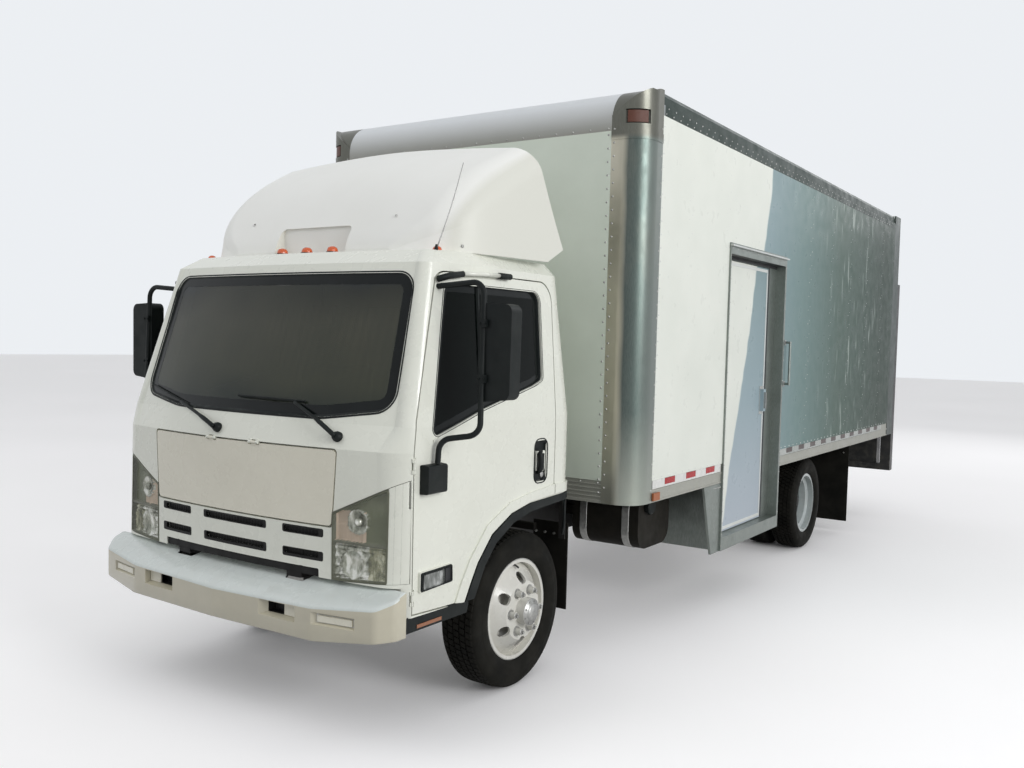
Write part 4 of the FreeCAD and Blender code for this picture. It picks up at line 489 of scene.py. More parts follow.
def sheet(rows, thick=0.0):
    """A sheet through rows of points; with a thickness it gets a rim that goes down behind it."""
    count, high = len(rows[0]), len(rows)
    points = [Vector(p) for row in rows for p in row]
    faces = [(r * count + k, r * count + k + 1, (r + 1) * count + k + 1, (r + 1) * count + k)
             for r in range(high - 1) for k in range(count - 1)]
    if thick:
        corner = Vector(rows[0][0])
        normal = (Vector(rows[-1][-1]) - corner).cross(Vector(rows[0][-1]) - corner).normalized()
        rim = list(range(count)) + [r * count + count - 1 for r in range(1, high)]
        rim += [(high - 1) * count + k for k in range(count - 2, -1, -1)]
        rim += [r * count for r in range(high - 2, 0, -1)]
        base, size = len(points), len(rim)
        points += [points[k] - normal * thick for k in rim]
        faces += [(rim[k], rim[(k + 1) % size], base + (k + 1) % size, base + k) for k in range(size)]
    return points, faces


class Skin:
    """The outside of some CAD nodes, to lay thin parts on it from the front or the side."""

    def __init__(self, *names):
        points, faces = [], []
        for name in names:
            mesh = NODES[name].data
            base = len(points)
            points += [vertex.co.copy() for vertex in mesh.vertices]
            faces += [[base + k for k in face.vertices] for face in mesh.polygons]
        self.tree = BVHTree.FromPolygons(points, faces)
        self.last = (Vector(), Z)

    def hit(self, start, towards):
        """The place and the outward normal where a ray meets the skin, or else the last ones found."""
        place, normal, _, _ = self.tree.ray_cast(Vector(start), Vector(towards))
        if place is not None:
            self.last = (place, -normal if normal.dot(Vector(towards)) > 0 else normal)
        return self.last

    def front(self, x, z, lift=0.0):
        place, normal = self.hit((x, AHEAD, z), Y)
        return place + normal * lift

    def side(self, y, z, hand=1, lift=0.0):
        place, normal = self.hit((3 * hand, y, z), (-hand, 0, 0))
        return place + normal * lift


class Piece:
    """One joined mesh that rides on a body, with a material for each tone."""

    def __init__(self, name, body, slot, *tones):
        self.name, self.body, self.slot = name, body, slot
        self.tones = tones
        self.points, self.faces, self.tone, self.smooth = [], [], [], []

    def add(self, shape, tone=0, smooth=False):
        """Adds a shape; the tone is one number, or a list with one for each face."""
        points, faces = shape
        base = len(self.points)
        self.points += [tuple(p) for p in points]
        self.faces += [tuple(base + k for k in face) for face in faces]
        self.tone += tone if isinstance(tone, list) else [tone] * len(faces)
        self.smooth += [smooth] * len(faces)

    def box(self, low, high, tone=0):
        self.add(brick(low, high), tone)

    def plate(self, x, y, z, wide, deep, high, tone=0):
        """Adds a plate on a face that looks back; its sizes are in millimetres."""
        half, rise = wide / 2000, high / 2000
        self.box((x - half, y, z - rise), (x + half, y + deep / 1000, z + rise), tone)

    def turned(self, centre, axis, profile, count, tone=0, smooth=False):
        """Adds a turned shape; its profile is in millimetres."""
        self.add(lathe(centre, axis, [(r / 1000, h / 1000) for r, h in profile], count), tone, smooth)

    def rivets(self, count, start, step, normal, radius, tone=0, height=0.0035, corners=8):
        """A row of rivets from a start by equal steps."""
        for k in range(count):
            self.add(rivet(Vector(start) + Vector(step) * k, normal, radius, height, corners), tone, True)

    def mirrored(self):
        """The same again on the truck's other side."""
        base = len(self.points)
        self.points += [(-x, y, z) for x, y, z in self.points]
        self.faces += [tuple(base + k for k in reversed(face)) for face in self.faces]
        self.tone *= 2
        self.smooth *= 2

    def done(self, bevel=0.0, replaces=()):
        mesh = bpy.data.meshes.new(self.name)
        mesh.from_pydata(self.points, [], self.faces)
        for tone in self.tones:
            mesh.materials.append(M[tone])
        mesh.polygons.foreach_set("material_index", self.tone)
        mesh.polygons.foreach_set("use_smooth", self.smooth)
        mesh.update()
        work = bmesh.new()
        work.from_mesh(mesh)
        bmesh.ops.recalc_face_normals(work, faces=work.faces)
        work.to_mesh(mesh)
        work.free()
        piece = bpy.data.objects.new(self.name, mesh)
        bpy.context.scene.collection.objects.link(piece)
        if bevel:
            edge = piece.modifiers.new("edges", "BEVEL")
            edge.width, edge.segments, edge.limit_method = bevel, 2, "ANGLE"
        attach(piece, self.body)
        for node in replaces:
            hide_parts(node)


def back(y):
    """A place along the truck from the front axle, in millimetres, in the frame's metres."""
    return AXLE + y / 1000


def mm(*pairs):
    """Side-view pairs in millimetres from the front axle as places in the frame."""
    return [Vector((back(y), z / 1000)) for y, z in pairs]


def flat(*pairs):
    return [Vector(p) for p in pairs]


def rounded(corners, radii, steps=6):
    """A closed plane outline with its corners rounded, by one radius or one for each."""
    line = []
    count = len(corners)
    radii = radii if isinstance(radii, list) else [radii] * count
    for k, (corner, radius) in enumerate(zip(corners, radii)):
        before = (corners[k - 1] - corner).normalized()
        after = (corners[(k + 1) % count] - corner).normalized()
        half = before.angle(after) / 2
        if radius == 0 or half > 1.55:
            line.append(corner)
            continue
        reach = radius / math.tan(half)
        centre = corner + (before + after).normalized() * (radius / math.sin(half))
        start, end = corner + before * reach - centre, corner + after * reach - centre
        turn = start.angle_signed(end)
        for step in range(steps + 1):
            line.append(centre + Matrix.Rotation(-turn * step / steps, 2) @ start)
    return line


def dense(line, pitch, closed=True):
    """The outline again with points no further apart than the pitch."""
    out = []
    count = len(line)
    for k in range(count if closed else count - 1):
        a, b = line[k], line[(k + 1) % count]
        parts = max(1, int((b - a).length / pitch))
        out += [a.lerp(b, step / parts) for step in range(parts)]
    return out if closed else out + [line[-1]]


def inward(line, distance):
    """A closed outline moved towards its inside by a distance."""
    area = sum(a.x * b.y - b.x * a.y for a, b in zip(line, line[1:] + line[:1]))
    hand = 1 if area > 0 else -1
    moved = []
    for k, place in enumerate(line):
        along = (line[(k + 1) % len(line)] - line[k - 1]).normalized()
        moved.append(place + Vector((-along.y, along.x)) * hand * distance)
    return moved


def band(line, offsets, lifts, lay):
    """A closed band along an outline: each row has its own inward offset and lift off the surface."""
    rows = []
    for offset, lift in zip(offsets, lifts):
        row = [lay(p.x, p.y, lift) for p in inward(line, offset)]
        rows.append(row + row[:1])
    return sheet(rows)


def patch(lower, upper, lay, lift=0.002, across=12, up=6, rim=0.0):
    """A sheet between a lower and an upper edge, each given by its two ends, laid on a surface."""
    rows = []
    for j in range(up + 1):
        row = []
        for k in range(across + 1):
            p = lower[0].lerp(lower[1], k / across).lerp(upper[0].lerp(upper[1], k / across), j / up)
            row.append(lay(p.x, p.y, lift))
        rows.append(row)
    return sheet(rows, rim)


def around(centre, radius, count, shift=0.0):
    """Places on a circle about a line across the truck."""
    turns = [2 * math.pi * (k + shift) / count for k in range(count)]
    return [Vector(centre) + Vector((0, radius * math.cos(turn), radius * math.sin(turn))) for turn in turns]


# Small parts of the cab

def build_headlamps():
    """Headlamps: a clear lens over reflector bowls, a turn lamp and a grey bezel; and the roof's lamps."""
    skin = Skin("cab_lamps")
    piece = Piece("headlamps", "cab", "lamp_clear", "lens", "bezel_grey", "reflector", "amber_soft",
                  "lamp_dark_reflection", "cab_white", "lamp_olive_reflection", "amber", "black_plastic")
    lens, bezel, mirror, soft, dark, body, olive_reflection, amber, black = range(9)
    x0, x1 = 0.6135, 0.978      # the unit's ends
    outer, bar = 0.903, 0.88    # the lens's outer end and the height of the bar between the bowls
    bowls = ((0.742, 0.976, 0.056, 1.0, 0.008, 0.022), (0.722, 0.785, 0.066, 1.0, 0.01, 0.024),
             (0.845, 0.785, 0.048, 0.8, 0.012, 0.018))   # place, radius, squash and depths
    columns, rows = 56, 72

    def ends(x):
        return 0.7065 + max(0.0, x - 0.66) * 0.063, 1.006 + (x - 0.612) * 0.455

    def depth(x, z):
        if x > outer - 0.006:
            return 0.0
        if abs(z - bar) < 0.007:
            return 0.004
        for cx, cz, radius, squash, base, deep in bowls:
            away = math.hypot(x - cx, (z - cz) * squash) / radius
            if away < 1:
                return base + deep * (1 - away ** 2)
        if x < 0.775 and 0.886 < z < 0.96:
            return 0.018 + 0.004 * math.cos(x * 420)
        return 0.02 + 0.006 * math.sin(z * 160) if z < 0.87 else 0.022

    def tone(x, z):
        if x > outer:
            return body
        if x > outer - 0.008 or abs(z - bar) < 0.008:
            return bezel
        if math.hypot(x - bowls[0][0], z - bowls[0][1]) < bowls[0][2]:
            return mirror
        # painted reflections: below the bar bright streaks on the left and olive on the right; above, dark
        # olive on the right
        if z < 0.87:
            return mirror if x < 0.8 else olive_reflection
        return soft if x < 0.785 and z < 1.02 else dark

    def at(k, j):
        x = x0 + (x1 - x0) * k / columns
        low, high = ends(x)
        return x, low + (high - low) * j / rows

    inner, cover = [], []
    for j in range(rows + 1):
        inner.append([])
        cover.append([])
        for k in range(columns + 1):
            x, z = at(k, j)
            place, normal = skin.hit((x, AHEAD, z), Y)
            rim = min(1.0, min(k, columns - k) / 3, min(j, rows - j) / 3)
            inner[-1].append(place - normal * (depth(x, z) * rim - 0.0004))
            cover[-1].append(place + normal * 0.0005)
    points, faces = sheet(inner)
    tones = []
    for number in range(len(faces)):
        j, k = divmod(number, columns)
        here = tone(*at(k + 0.5, j + 0.5))
        tones.append(bezel if here != body and (k < 2 or min(j, rows - 1 - j) < 2) else here)
    piece.add((points, faces), tones, True)
    piece.add(sheet([row[::4] for row in cover[::4]]), lens, True)
    edge = flat((x0, ends(x0)[0]), (0.66, 0.7065), (outer, ends(outer)[0]), (outer, ends(outer)[1]),
                (x0, ends(x0)[1]))
    border = dense(rounded(edge, [0.004, 0.004, 0.01, 0.014, 0.01]), 0.02)
    piece.add(band(border, [0.0, 0.001, 0.008, 0.009], [0.0, 0.002, 0.002, 0.0], skin.front), bezel)
    bulb = [(20, 0), (18, 12), (8, 20), (1, 21)]
    piece.turned((0.742, back(-1000), 0.976), (0, -1, 0.1), bulb, 14, mirror, True)
    piece.mirrored()
    shape = ((1, 0), (1, 0.45), (0.92, 0.7), (0.7, 0.9), (0.35, 1))
    for across, y, z, size, high in ((0, -620, 2.19, 28, 40), (0.178, -620, 2.19, 28, 40),
                                     (-0.178, -620, 2.19, 28, 40), (0.8, -568, 2.17, 24, 46),
                                     (-0.8, -568, 2.17, 24, 46)):
        dome = [(size * wide, high * up) for wide, up in shape] + [(1, high)]
        foot = [(size * 1.18, 0), (size * 1.18, high * 0.3), (size, high * 0.34)]
        piece.turned((across, back(y), z), Z, dome, 20, amber, True)
        piece.turned((across, back(y), z), Z, foot, 20, black)
    piece.done(replaces=("cab_lamps",))


def build_cab_front():
    """Seal and dark band of the windshield, and the grille's dark core, openings and screens."""
    skin = Skin("cab_shell", "cab_glass")
    screen = flat((-0.862, 1.468), (-0.5, 1.42), (0.5, 1.42), (0.862, 1.468), (0.822, 2.08), (-0.822, 2.08))
    line = dense(rounded(screen, [0.09, 0.6, 0.6, 0.09, 0.09, 0.09], 8), 0.03)
    seal = Piece("windshield_seal", "cab", "trim_black", "black_plastic", "frit")
    seal.add(band(line, [-0.01, -0.007, 0.004, 0.012], [0.0, 0.004, 0.004, -0.001], skin.front), 0, True)
    seal.add(band(line, [0.008, 0.03, 0.052], [0.0006] * 3, skin.front), 1, True)
    seal.done()
    core = Piece("grille_core", "cab", "trim_black", "grille_dark", "cab_white")
    sill, bar, lintel = 0.768, 0.856, 0.932     # heights on the nose under, between and over its openings
    rows = []
    for z in (0.7085, 0.745, 0.785, 0.825, 0.865, 0.905, 0.93):
        row = []
        for k in range(113):
            place = skin.front(-0.56 + 0.01 * k, sill if z < 0.79 else bar if z < 0.9 else lintel)
            lift = 0.0074 if z < 0.75 else 0.015 if k % 2 else 0.018
            row.append(Vector((place.x, place.y + lift, z)))
        rows.append(row)
    core.add(sheet(rows))

    def face(x, z, low, high):
        a, b = skin.front(x, low), skin.front(x, high)
        return Vector((x, a.y + (b.y - a.y) * (z - low) / (high - low) - 0.0007, z))

    def ring(x0, x1, z0, z1):
        r = 0.006
        span = [(x0 + r + (x1 - x0 - 2 * r) * k / 12) for k in range(13)]
        points = [(x, z0) for x in span] + [(x1, z0 + r), (x1, z1 - r)]
        points += [(x, z1) for x in reversed(span)] + [(x0, z1 - r), (x0, z0 + r)]
        return points + points[:1]

    for z0, z1, low, high, low_in, high_in in ((0.889, 0.927, bar, lintel, 0.893, 0.919),
                                               (0.78, 0.823, sill, bar, 0.793, 0.819)):
        for x0, x1, a0, a1 in ((-0.222, 0.222, -0.206, 0.206), (0.325, 0.566, 0.331, 0.541),
                               (-0.566, -0.325, -0.541, -0.331)):
            rims = (ring(x0, x1, z0, z1), ring(a0 + 0.001, a1 - 0.001, low_in, high_in))
            rows = [[face(x, z, low, high) for x, z in rim] for rim in rims]
            core.add(sheet(rows + [[p + Y * 0.014 for p in rows[1]]]))
    for hand in (1, -1):
        core.add(sheet([[face(x * hand, z, 0.785, 0.85) + Y * 0.0003 for x in (0.415, 0.43, 0.445, 0.46)]
                        for z in (0.7465, 0.7785)]), 1)
        lug = [skin.front(x * hand, 0.785) for x in (0.345, 0.39, 0.435)]
        core.add(sheet([[Vector((q.x, q.y + 0.006, z)) for q in lug] for z in (0.686, 0.7095)]))
    core.done()


def build_wipers():
    """Two parked wipers: pivot caps, cranked arms and blades with their rubber."""
    skin = Skin("cab_shell", "cab_glass")
    piece = Piece("wipers", "cab", "trim_black", "black_plastic")
    for pivot, elbow, tip, a, b in (
            ((0.625, 1.338), (0.5, 1.408), (0.345, 1.472), (-0.035, 1.487), (0.394, 1.482)),
            ((-0.115, 1.33), (-0.24, 1.375), (-0.46, 1.43), (-0.8, 1.5), (-0.4, 1.424))):
        cap = [(24, 0), (24, 22), (18, 34), (4, 37)]
        piece.turned(skin.front(*pivot) + Y * 0.01, (0, -1, 0.35), cap, 16, 0, True)
        arm = [skin.front(*pivot, 0.03), skin.front(*elbow, 0.036), skin.front(*tip, 0.022)]
        piece.add(pipe(curve_through(arm, 5), [0.011] * 5 + [0.008] * 6, 8), 0, True)
        blade = [skin.front(*Vector(a).lerp(Vector(b), k / 10), 0.012) for k in range(11)]
        piece.add(pipe(blade, 0.005, 6))
        piece.add(pipe([p + Vector((0, 0.004, -0.004)) for p in blade], 0.003, 5))
        bridge = blade[5] + Vector((0, -0.014, 0.004))
        for end in (blade[2], blade[8]):
            piece.add(pipe([bridge, end + Vector((0, -0.003, 0.001))], 0.004, 6))
    piece.done()


def build_door_trim(side, hand):
    """A cab door's window seal, handle, side lamp, the rail over its window and the mirror's glass."""
    body = f"cab_door_{side}"
    skin = Skin(body, f"door_glass_{side}")

    def lay(y, z, lift=0.0):
        return skin.side(y, z, hand, lift)

    window = mm((-810, 1345), (-430, 1462), (0, 1560), (88, 1590), (88, 2035), (-655, 2035))
    line = dense(rounded(window, [0.03, 0.2, 0.06, 0.03, 0.06, 0.05]), 0.03)
    trim = Piece(f"door_trim_{side}", body, "trim_black", "black_plastic", "frit", "cab_white", "steel")
    trim.add(band(line, [-0.007, -0.005, 0.003, 0.007], [0.0, 0.003, 0.003, -0.006], lay), 0, True)
    trim.add(band(line, [0.003, 0.018, 0.034], [0.0008] * 3, lay), 1, True)
    divider = dense(mm((-430, 1470), (-430, 2030)), 0.08, False)
    trim.add(pipe([lay(p.x, p.y, 0.003) for p in divider], 0.01, 6))
    grip = dense(rounded(mm((2, 1058), (128, 1058), (128, 1288), (2, 1288)), 0.045), 0.02)
    trim.add(band(grip, [-0.002, 0.001, 0.012, 0.016], [0.0, 0.005, 0.004, -0.01], lay), 0, True)
    trim.add(patch(mm((14, 1072), (116, 1072)), mm((14, 1276), (116, 1276)), lay, 0.0012, 6, 12))
    lever = [lay(back(36), 1.115 + 0.012 * k, 0.012 + 0.01 * math.sin(math.pi * k / 9)) for k in range(10)]
    trim.add(pipe(lever, [0.01] + [0.013] * 8 + [0.01], 10), 0, True)
    trim.turned(lay(back(92), 1.1, 0.001), X * hand, [(16, 0), (16, 6), (10, 8), (1, 8)], 16, 3)
    top = mm((-700, 2050), (-640, 2068), (-560, 2082), (-430, 2090), (-300, 2093), (-205, 2093))
    rail = [lay(p.x, min(p.y, 2.084), 0.02) + Z * max(0, p.y - 2.084) for p in top]
    for part, radius, tone in ((rail[:3], 0.015, 0), (rail[2:5], 0.011, 2), (rail[4:], 0.015, 0)):
        trim.add(pipe(part, radius, 10), tone, True)
    for k in (1, 5):
        trim.add(pipe([rail[k], rail[k] - Vector((0.024 * hand, 0, 0.004))], 0.01, 8))
    trim.done()

    lens = Piece(f"side_lamp_{side}", body, "lamp_clear", "black_plastic", "side_lens", "dark_trim")
    case = dense(rounded(mm((-882, 680), (-668, 692), (-672, 773), (-882, 766)), 0.01), 0.02)
    lens.add(band(case, [0.0, 0.002, 0.01, 0.012], [0.001, 0.005, 0.005, 0.001], lay))
    lens.add(patch(mm((-870, 692), (-735, 698)), mm((-870, 756), (-735, 760)), lay, 0.0045, 12, 6, 0.006), 1)
    lens.add(patch(mm((-728, 700), (-684, 702)), mm((-728, 761), (-684, 763)), lay, 0.004, 6, 6, 0.006), 2)
    lens.done()

    glass_piece = Piece(f"mirror_glass_{side}", body, "mirror_plastic", "mirror_glass", "black_plastic")
    plate = rounded(flat((1.16, 1.527), (1.308, 1.542), (1.311, 1.927), (1.162, 1.934)), 0.026)
    rows = []
    for inset, lift in ((0.0, 0.0), (0.004, 0.002), (0.04, 0.0025)):
        row = [Vector((p.x * hand, back(-624) + lift, p.y)) for p in inward(plate, inset)]
        rows.append(row + row[:1])
    points, faces = sheet(rows)
    faces.append(tuple(range(2 * (len(plate) + 1), 3 * (len(plate) + 1) - 1)))
    glass_piece.add((points, faces), 0, True)
    for z in (1.617, 1.857):
        for x in (1.166, 1.192):
            glass_piece.turned((x * hand, back(-722), z), -Y, [(6, 0), (6, 4), (2, 5)], 8, 1)
    glass_piece.done()


def build_fairing_trim():
    """The fairing's side seams and screws, and the aerial beside it."""
    skin = Skin("roof_fairing")
    piece = Piece("fairing_seams", "cab", "cab_white", "seam_grey", "steel")
    seam = mm((-570, 2385), (-540, 2402), (-505, 2398), (-450, 2372), (-430, 2300), (-424, 2215))
    for hand in (1, -1):
        piece.add(pipe([skin.side(p.x, p.y, hand, 0.0006) for p in dense(seam, 0.03, False)], 0.0028, 6))
        for p in mm((-522, 2375), (-445, 2225)):
            piece.turned(skin.side(p.x, p.y, hand), (hand, 0, 0.2), [(9, 0), (8, 3), (2, 5)], 10, 1)
    piece.done()
    aerial = Piece("aerial", "cab", "trim_black", "steel", "black_plastic")
    foot = Skin("cab_shell", "roof_fairing").hit((0.82, back(-600), 4), -Z)[0]
    tip = Vector((0.905, back(-520), 2.6))
    aerial.turned(foot, Z, [(10, -4), (9, 8), (6, 18), (4, 26)], 12, 1, True)
    aerial.add(pipe([foot.lerp(tip, k / 8) + Y * (0.01 * math.sin(math.pi * k / 8)) for k in range(9)],
                    [0.0035 - 0.0002 * k for k in range(9)], 7), 0, True)
    aerial.done()


def build_step_trim():
    """Treads and reflectors on the steps under the doors."""
    piece = Piece("step_trim", "cab", "trim_black", "dark_trim", "step_amber")
    piece.box((0.9848, back(-887), 0.522), (0.9885, back(-714), 0.538), 1)
    for k in range(12):
        y = back(-940 + 34 * k)
        piece.box((0.868, y, 0.5742), (0.978, y + 0.01, 0.579))
    piece.mirrored()
    piece.done(0.0008)


# The bumper's openings by two places across and two heights, and the notches in its top by two places across
STEP, BLANK, NOTCH = (0.305, 0.53, 0.53, 0.6), (0.623, 0.843, 0.54, 0.593), (0.335, 0.445)


def bumper_plan():
    """The left half of the bumper's plan, from its middle to its rear corner, with its openings' ends."""
    corners = flat((0, -1.19), (0.62, -1.168), (0.94, -1.11), (1.0, -1.04), (1.0, -0.975), (0, -0.975))
    line = dense(rounded(corners, [0, 0.3, 0.06, 0.06, 0, 0], 8)[:-1], 0.04, False)
    for x in (STEP[0], *NOTCH, STEP[1], *BLANK[:2]):
        k = next(k for k, p in enumerate(line) if p.x > x)
        a, b = line[k - 1], line[k]
        line.insert(k, a.lerp(b, (x - a.x) / (b.x - a.x)))
    return line


def build_bumper():
    """The bumper: a bowed face with two open steps and two lamp blanks, a falling top and its arms."""
    line = bumper_plan()
    piece = Piece("bumper", "chassis", "bumper_white",
                  "bumper_white", "bumper_sky_lit_top", "chassis", "lid_white", "steel")
    white, sky_lit, dark, blank, steel = range(5)
    end, thick = -0.975, 0.012

    def top(y):
        return 0.7 - 0.475 * max(0.0, -0.99 - y)

    def face_at(x):
        k = next(k for k, p in enumerate(line) if p.x >= x - 1e-6)
        a, b = line[max(k - 1, 0)], line[k]
        return b.y if b.x - a.x < 1e-6 else a.lerp(b, (x - a.x) / (b.x - a.x)).y

    def shell(inset):
        """Rows of points from the lower edge up the face, over the edge and back along the top."""
        rows = []
        for k, p in enumerate(line):
            along = (line[min(k + 1, len(line) - 1)] - line[max(k - 1, 0)]).normalized()
            out = Vector((along.y, -along.x))
            low = 0.464 + max(0.0, p.x - 0.64) * 0.1026
            notched = NOTCH[0] - 1e-4 < p.x < NOTCH[1] + 1e-4 and p.y < -1.05
            inner = -1.046 if notched else end
            edge = top(p.y) - inset - 0.01
            levels = [low + 0.006, STEP[2], BLANK[2], BLANK[3], STEP[3], edge]
            column = [(p - out * (inset + 0.006), low), (p - out * (inset + 0.0015), low + 0.0015)]
            column += [(p - out * inset, min(z, edge - 0.0006 * (5 - n))) for n, z in enumerate(levels)]
            column += [(p - out * (inset + 0.003), edge + 0.0075)]
            start = p - out * (inset + 0.011)
            for share in (0.0, 0.33, 0.66, 1.0):
                y = start.y + (inner - start.y) * share
                column.append((Vector((start.x, y)), top(y) - inset))
            rows.append([Vector((q.x, AXLE + q.y, z)) for q, z in column])
        return rows

    for inset in (0.0, thick):
        points, faces = sheet(shell(inset))
        kept, tones = [], []
        for face in faces:
            x, y, z = sum((points[k] for k in face), Vector()) / 4
            within = any(x0 < x < x1 and z0 < z < z1 for x0, x1, z0, z1 in (STEP, BLANK))
            if not (within and y < AXLE - 1.08):
                kept.append(face)
                # painted light: faces along the top get the sky-lit tone, the face keeps the beige white
                tones.append(dark if inset else sky_lit if z > top(y - AXLE) - 0.009 else white)
        piece.add((points, kept), tones, True)

    def pocket(place, rings, tones):
        """Rings of a rectangle set into the face: each has its own margins and depth."""
        x0, x1, z0, z1 = place
        rows = []
        for left, right, low, high, deep in rings:
            ring = []
            a0, a1, b0, b1 = x0 + left, x1 - right, z0 + low, z1 - high
            corners = flat((a0, b0), (a1, b0), (a1, b1), (a0, b1))
            for a, b in zip(corners, corners[1:] + corners[:1]):
                ring += [a.lerp(b, share / 5) for share in range(5)]
            rows.append([Vector((q.x, AXLE + face_at(q.x) + deep, q.y)) for q in ring + ring[:1]])
        for k in range(len(rows) - 1):
            piece.add(sheet(rows[k:k + 2]), tones[k])
        piece.add((rows[-1][:-1], [(n, n + 1, 14 - n, 15 - n) for n in range(5)]), tones[-1])

    rim, inset = (0, 0, 0, 0, 0), (0.034, 0.006, 0.012, 0.004)
    pocket(STEP, [rim, (*inset, 0.03), (*inset, 0.075)], (white, dark))
    pocket(BLANK, [rim, (0.022, 0.01, 0.009, 0.008, 0.014), (0.028, 0.014, 0.012, 0.01, 0.014),
                   (0.031, 0.016, 0.014, 0.012, 0.006)], (white, steel, blank))
    piece.box((0.44, back(-1146), 0.543), (0.52, back(-1140), 0.59), blank)
    piece.box((0.36, back(-1100), 0.56), (0.42, back(-954), 0.625), dark)
    piece.mirrored()
    piece.done(replaces=("front_bumper",))


# Small parts of the cargo box

def build_rivets():
    """Rivets along the box's rails, posts and wall panels."""
    piece = Piece("box_rivets", "chassis", "post_aluminium", "steel", "rivet_white")
    for hand in (1, -1):
        side, wall = X * hand, SIDE * hand
        for x, z in ((0.984, 0.93), (1.02, 0.96)):
            piece.rivets(28, (x * hand, FRONT, z), Z * 0.075, -Y, 0.0065)
        for y, z, tone in ((0.204, 0.94, 0), (0.229, 0.96, 1)):
            piece.rivets(28, (wall, FRONT + y, z), Z * 0.0765, side, 0.0055, tone)
        for y, z, normal in ((0, 2.992, -Y), (0, 0.985, -Y), (0.209, 3.225, Z)):
            piece.rivets(9, (0.06 * hand, FRONT + y, z), side * 0.115, normal, 0.006)
        for y, z in ((0.25, 3.098), (0.28, 3.131)):
            piece.rivets(58, (wall, FRONT + y, z), Y * 0.098, side, 0.005)
        for k in range(58):
            y = FRONT + 0.25 + 0.098 * k
            if hand < 0 or not back(1990) < y < back(3180):
                piece.rivets(1, (wall, y, 1.01), Y, side, 0.005, 1)
        for column in range(9):
            y = FRONT + 0.62 + 0.61 * column
            if hand < 0 or not back(1980) < y < back(3190):
                piece.rivets(18, (wall, y, 1.09), Z * 0.112, side, 0.0035, 1, 0.002, 6)
                piece.rivets(18, (wall, y + 0.045, 1.12), Z * 0.112, side, 0.0035, 1, 0.002, 6)
    piece.done()


def build_tapes():
    """Reflective tape on the lower rails and the rear sill, as thin raised strips."""
    piece = Piece("reflective_tape", "chassis", "post_aluminium",
                  "tape_white", "tape_red", "tape_white_in_shade", "tape_shade")
    low, high, thick = 0.946, 0.9965, 0.0012
    for start, end, hand in ((936, 1990, 1), (3185, 6490, 1), (940, 6490, -1)):
        x = sorted((SIDE * hand, (SIDE + thick) * hand))
        # painted shade: behind the side door the tape takes its shaded tones
        shade = 2 if start > 3000 else 0
        place, red = start + 6, False
        while place < end - 10:
            stop = min(place + (146 if red else 165), end - 6)
            if red:
                piece.box((x[0], back(place), low + 0.012), (x[1], back(stop), high - 0.002), 1 + shade)
            piece.box((x[0], back(place), low), (x[1], back(stop), low + 0.0115 if red else high), shade)
            place, red = stop + 1, not red
    for k in range(14):
        x = -1.05 + 0.15 * k
        piece.box((x, REAR, 0.93), (x + 0.148, REAR + thick, 0.98), k % 2)
    piece.done()


def build_entry_trim():
    """The entry's gutter, painted shadow strips, screws and tread plates, and its door's latch and edges."""
    piece = Piece("entry_trim", "chassis", "entry_aluminium", "aluminium", "steel", "dark_trim")
    piece.box((SIDE + 0.0118, back(2000), 2.452), (SIDE + 0.03, back(3172), 2.462))
    # painted shadow: dark strips under the header and along the door's rear edge
    for x0, x1, y0, y1, z0, z1 in ((-0.0598, -0.0585, 2032, 3135, 2.379, 2.401),
                                   (-0.0585, 0.004, 2012, 3135, 2.4005, 2.4019),
                                   (-0.0598, -0.0585, 2958, 2980, 0.5, 2.379)):
        piece.box((SIDE + x0, back(y0), z0), (SIDE + x1, back(y1), z1), 2)
    for y in (2015, 3158):
        piece.rivets(26, (SIDE + 0.012, back(y), 0.44), Z * 0.078, X, 0.005, 1)
    piece.rivets(12, (SIDE + 0.012, back(2040), 2.44), Y * 0.096, X, 0.005, 1)
    piece.rivets(9, (SIDE, back(1885), 0.84), Y * 0.014, X, 0.004, 1)
    for k in range(30):
        y = back(2045 + 37 * k)
        piece.box((SIDE - 0.455, y, 0.4158), (SIDE - 0.065, y + 0.006, 0.4195), 1)
        piece.box((SIDE - 0.46, y, 0.7298), (SIDE - 0.275, y + 0.006, 0.733), 1)
    for z in (1.506, 1.825):
        piece.turned((SIDE, back(3220), z), X, [(22, 0), (22, 5), (12, 8)], 14, 1)
    piece.done()
    door = Piece("side_door_trim", "side_door", "entry_aluminium", "aluminium", "steel", "rivet_white")
    face = SIDE - 0.06
    for x0, x1, y0, y1, z0, z1, tone in ((0, 0.004, 2858, 2932, 1.285, 1.495, 0),
                                         (0.03, 0.048, 2872, 2884, 1.33, 1.45, 1),
                                         (0, 0.0025, 2046, 2945, 0.512, 0.534, 2),
                                         (0, 0.0025, 2046, 2945, 2.34, 2.362, 2),
                                         (0, 0.0025, 2925, 2945, 0.536, 2.338, 2)):
        door.box((face + x0, back(y0), z0), (face + x1, back(y1), z1), tone)
    door.turned((face + 0.03, back(2905), 1.36), X, [(12, 0), (12, 6), (2, 8)], 14, 1)
    for z in (1.292, 1.488):
        door.rivets(2, (face + 0.004, back(2864), z), Y * 0.062, X, 0.004, 1)
    door.done(0.001)


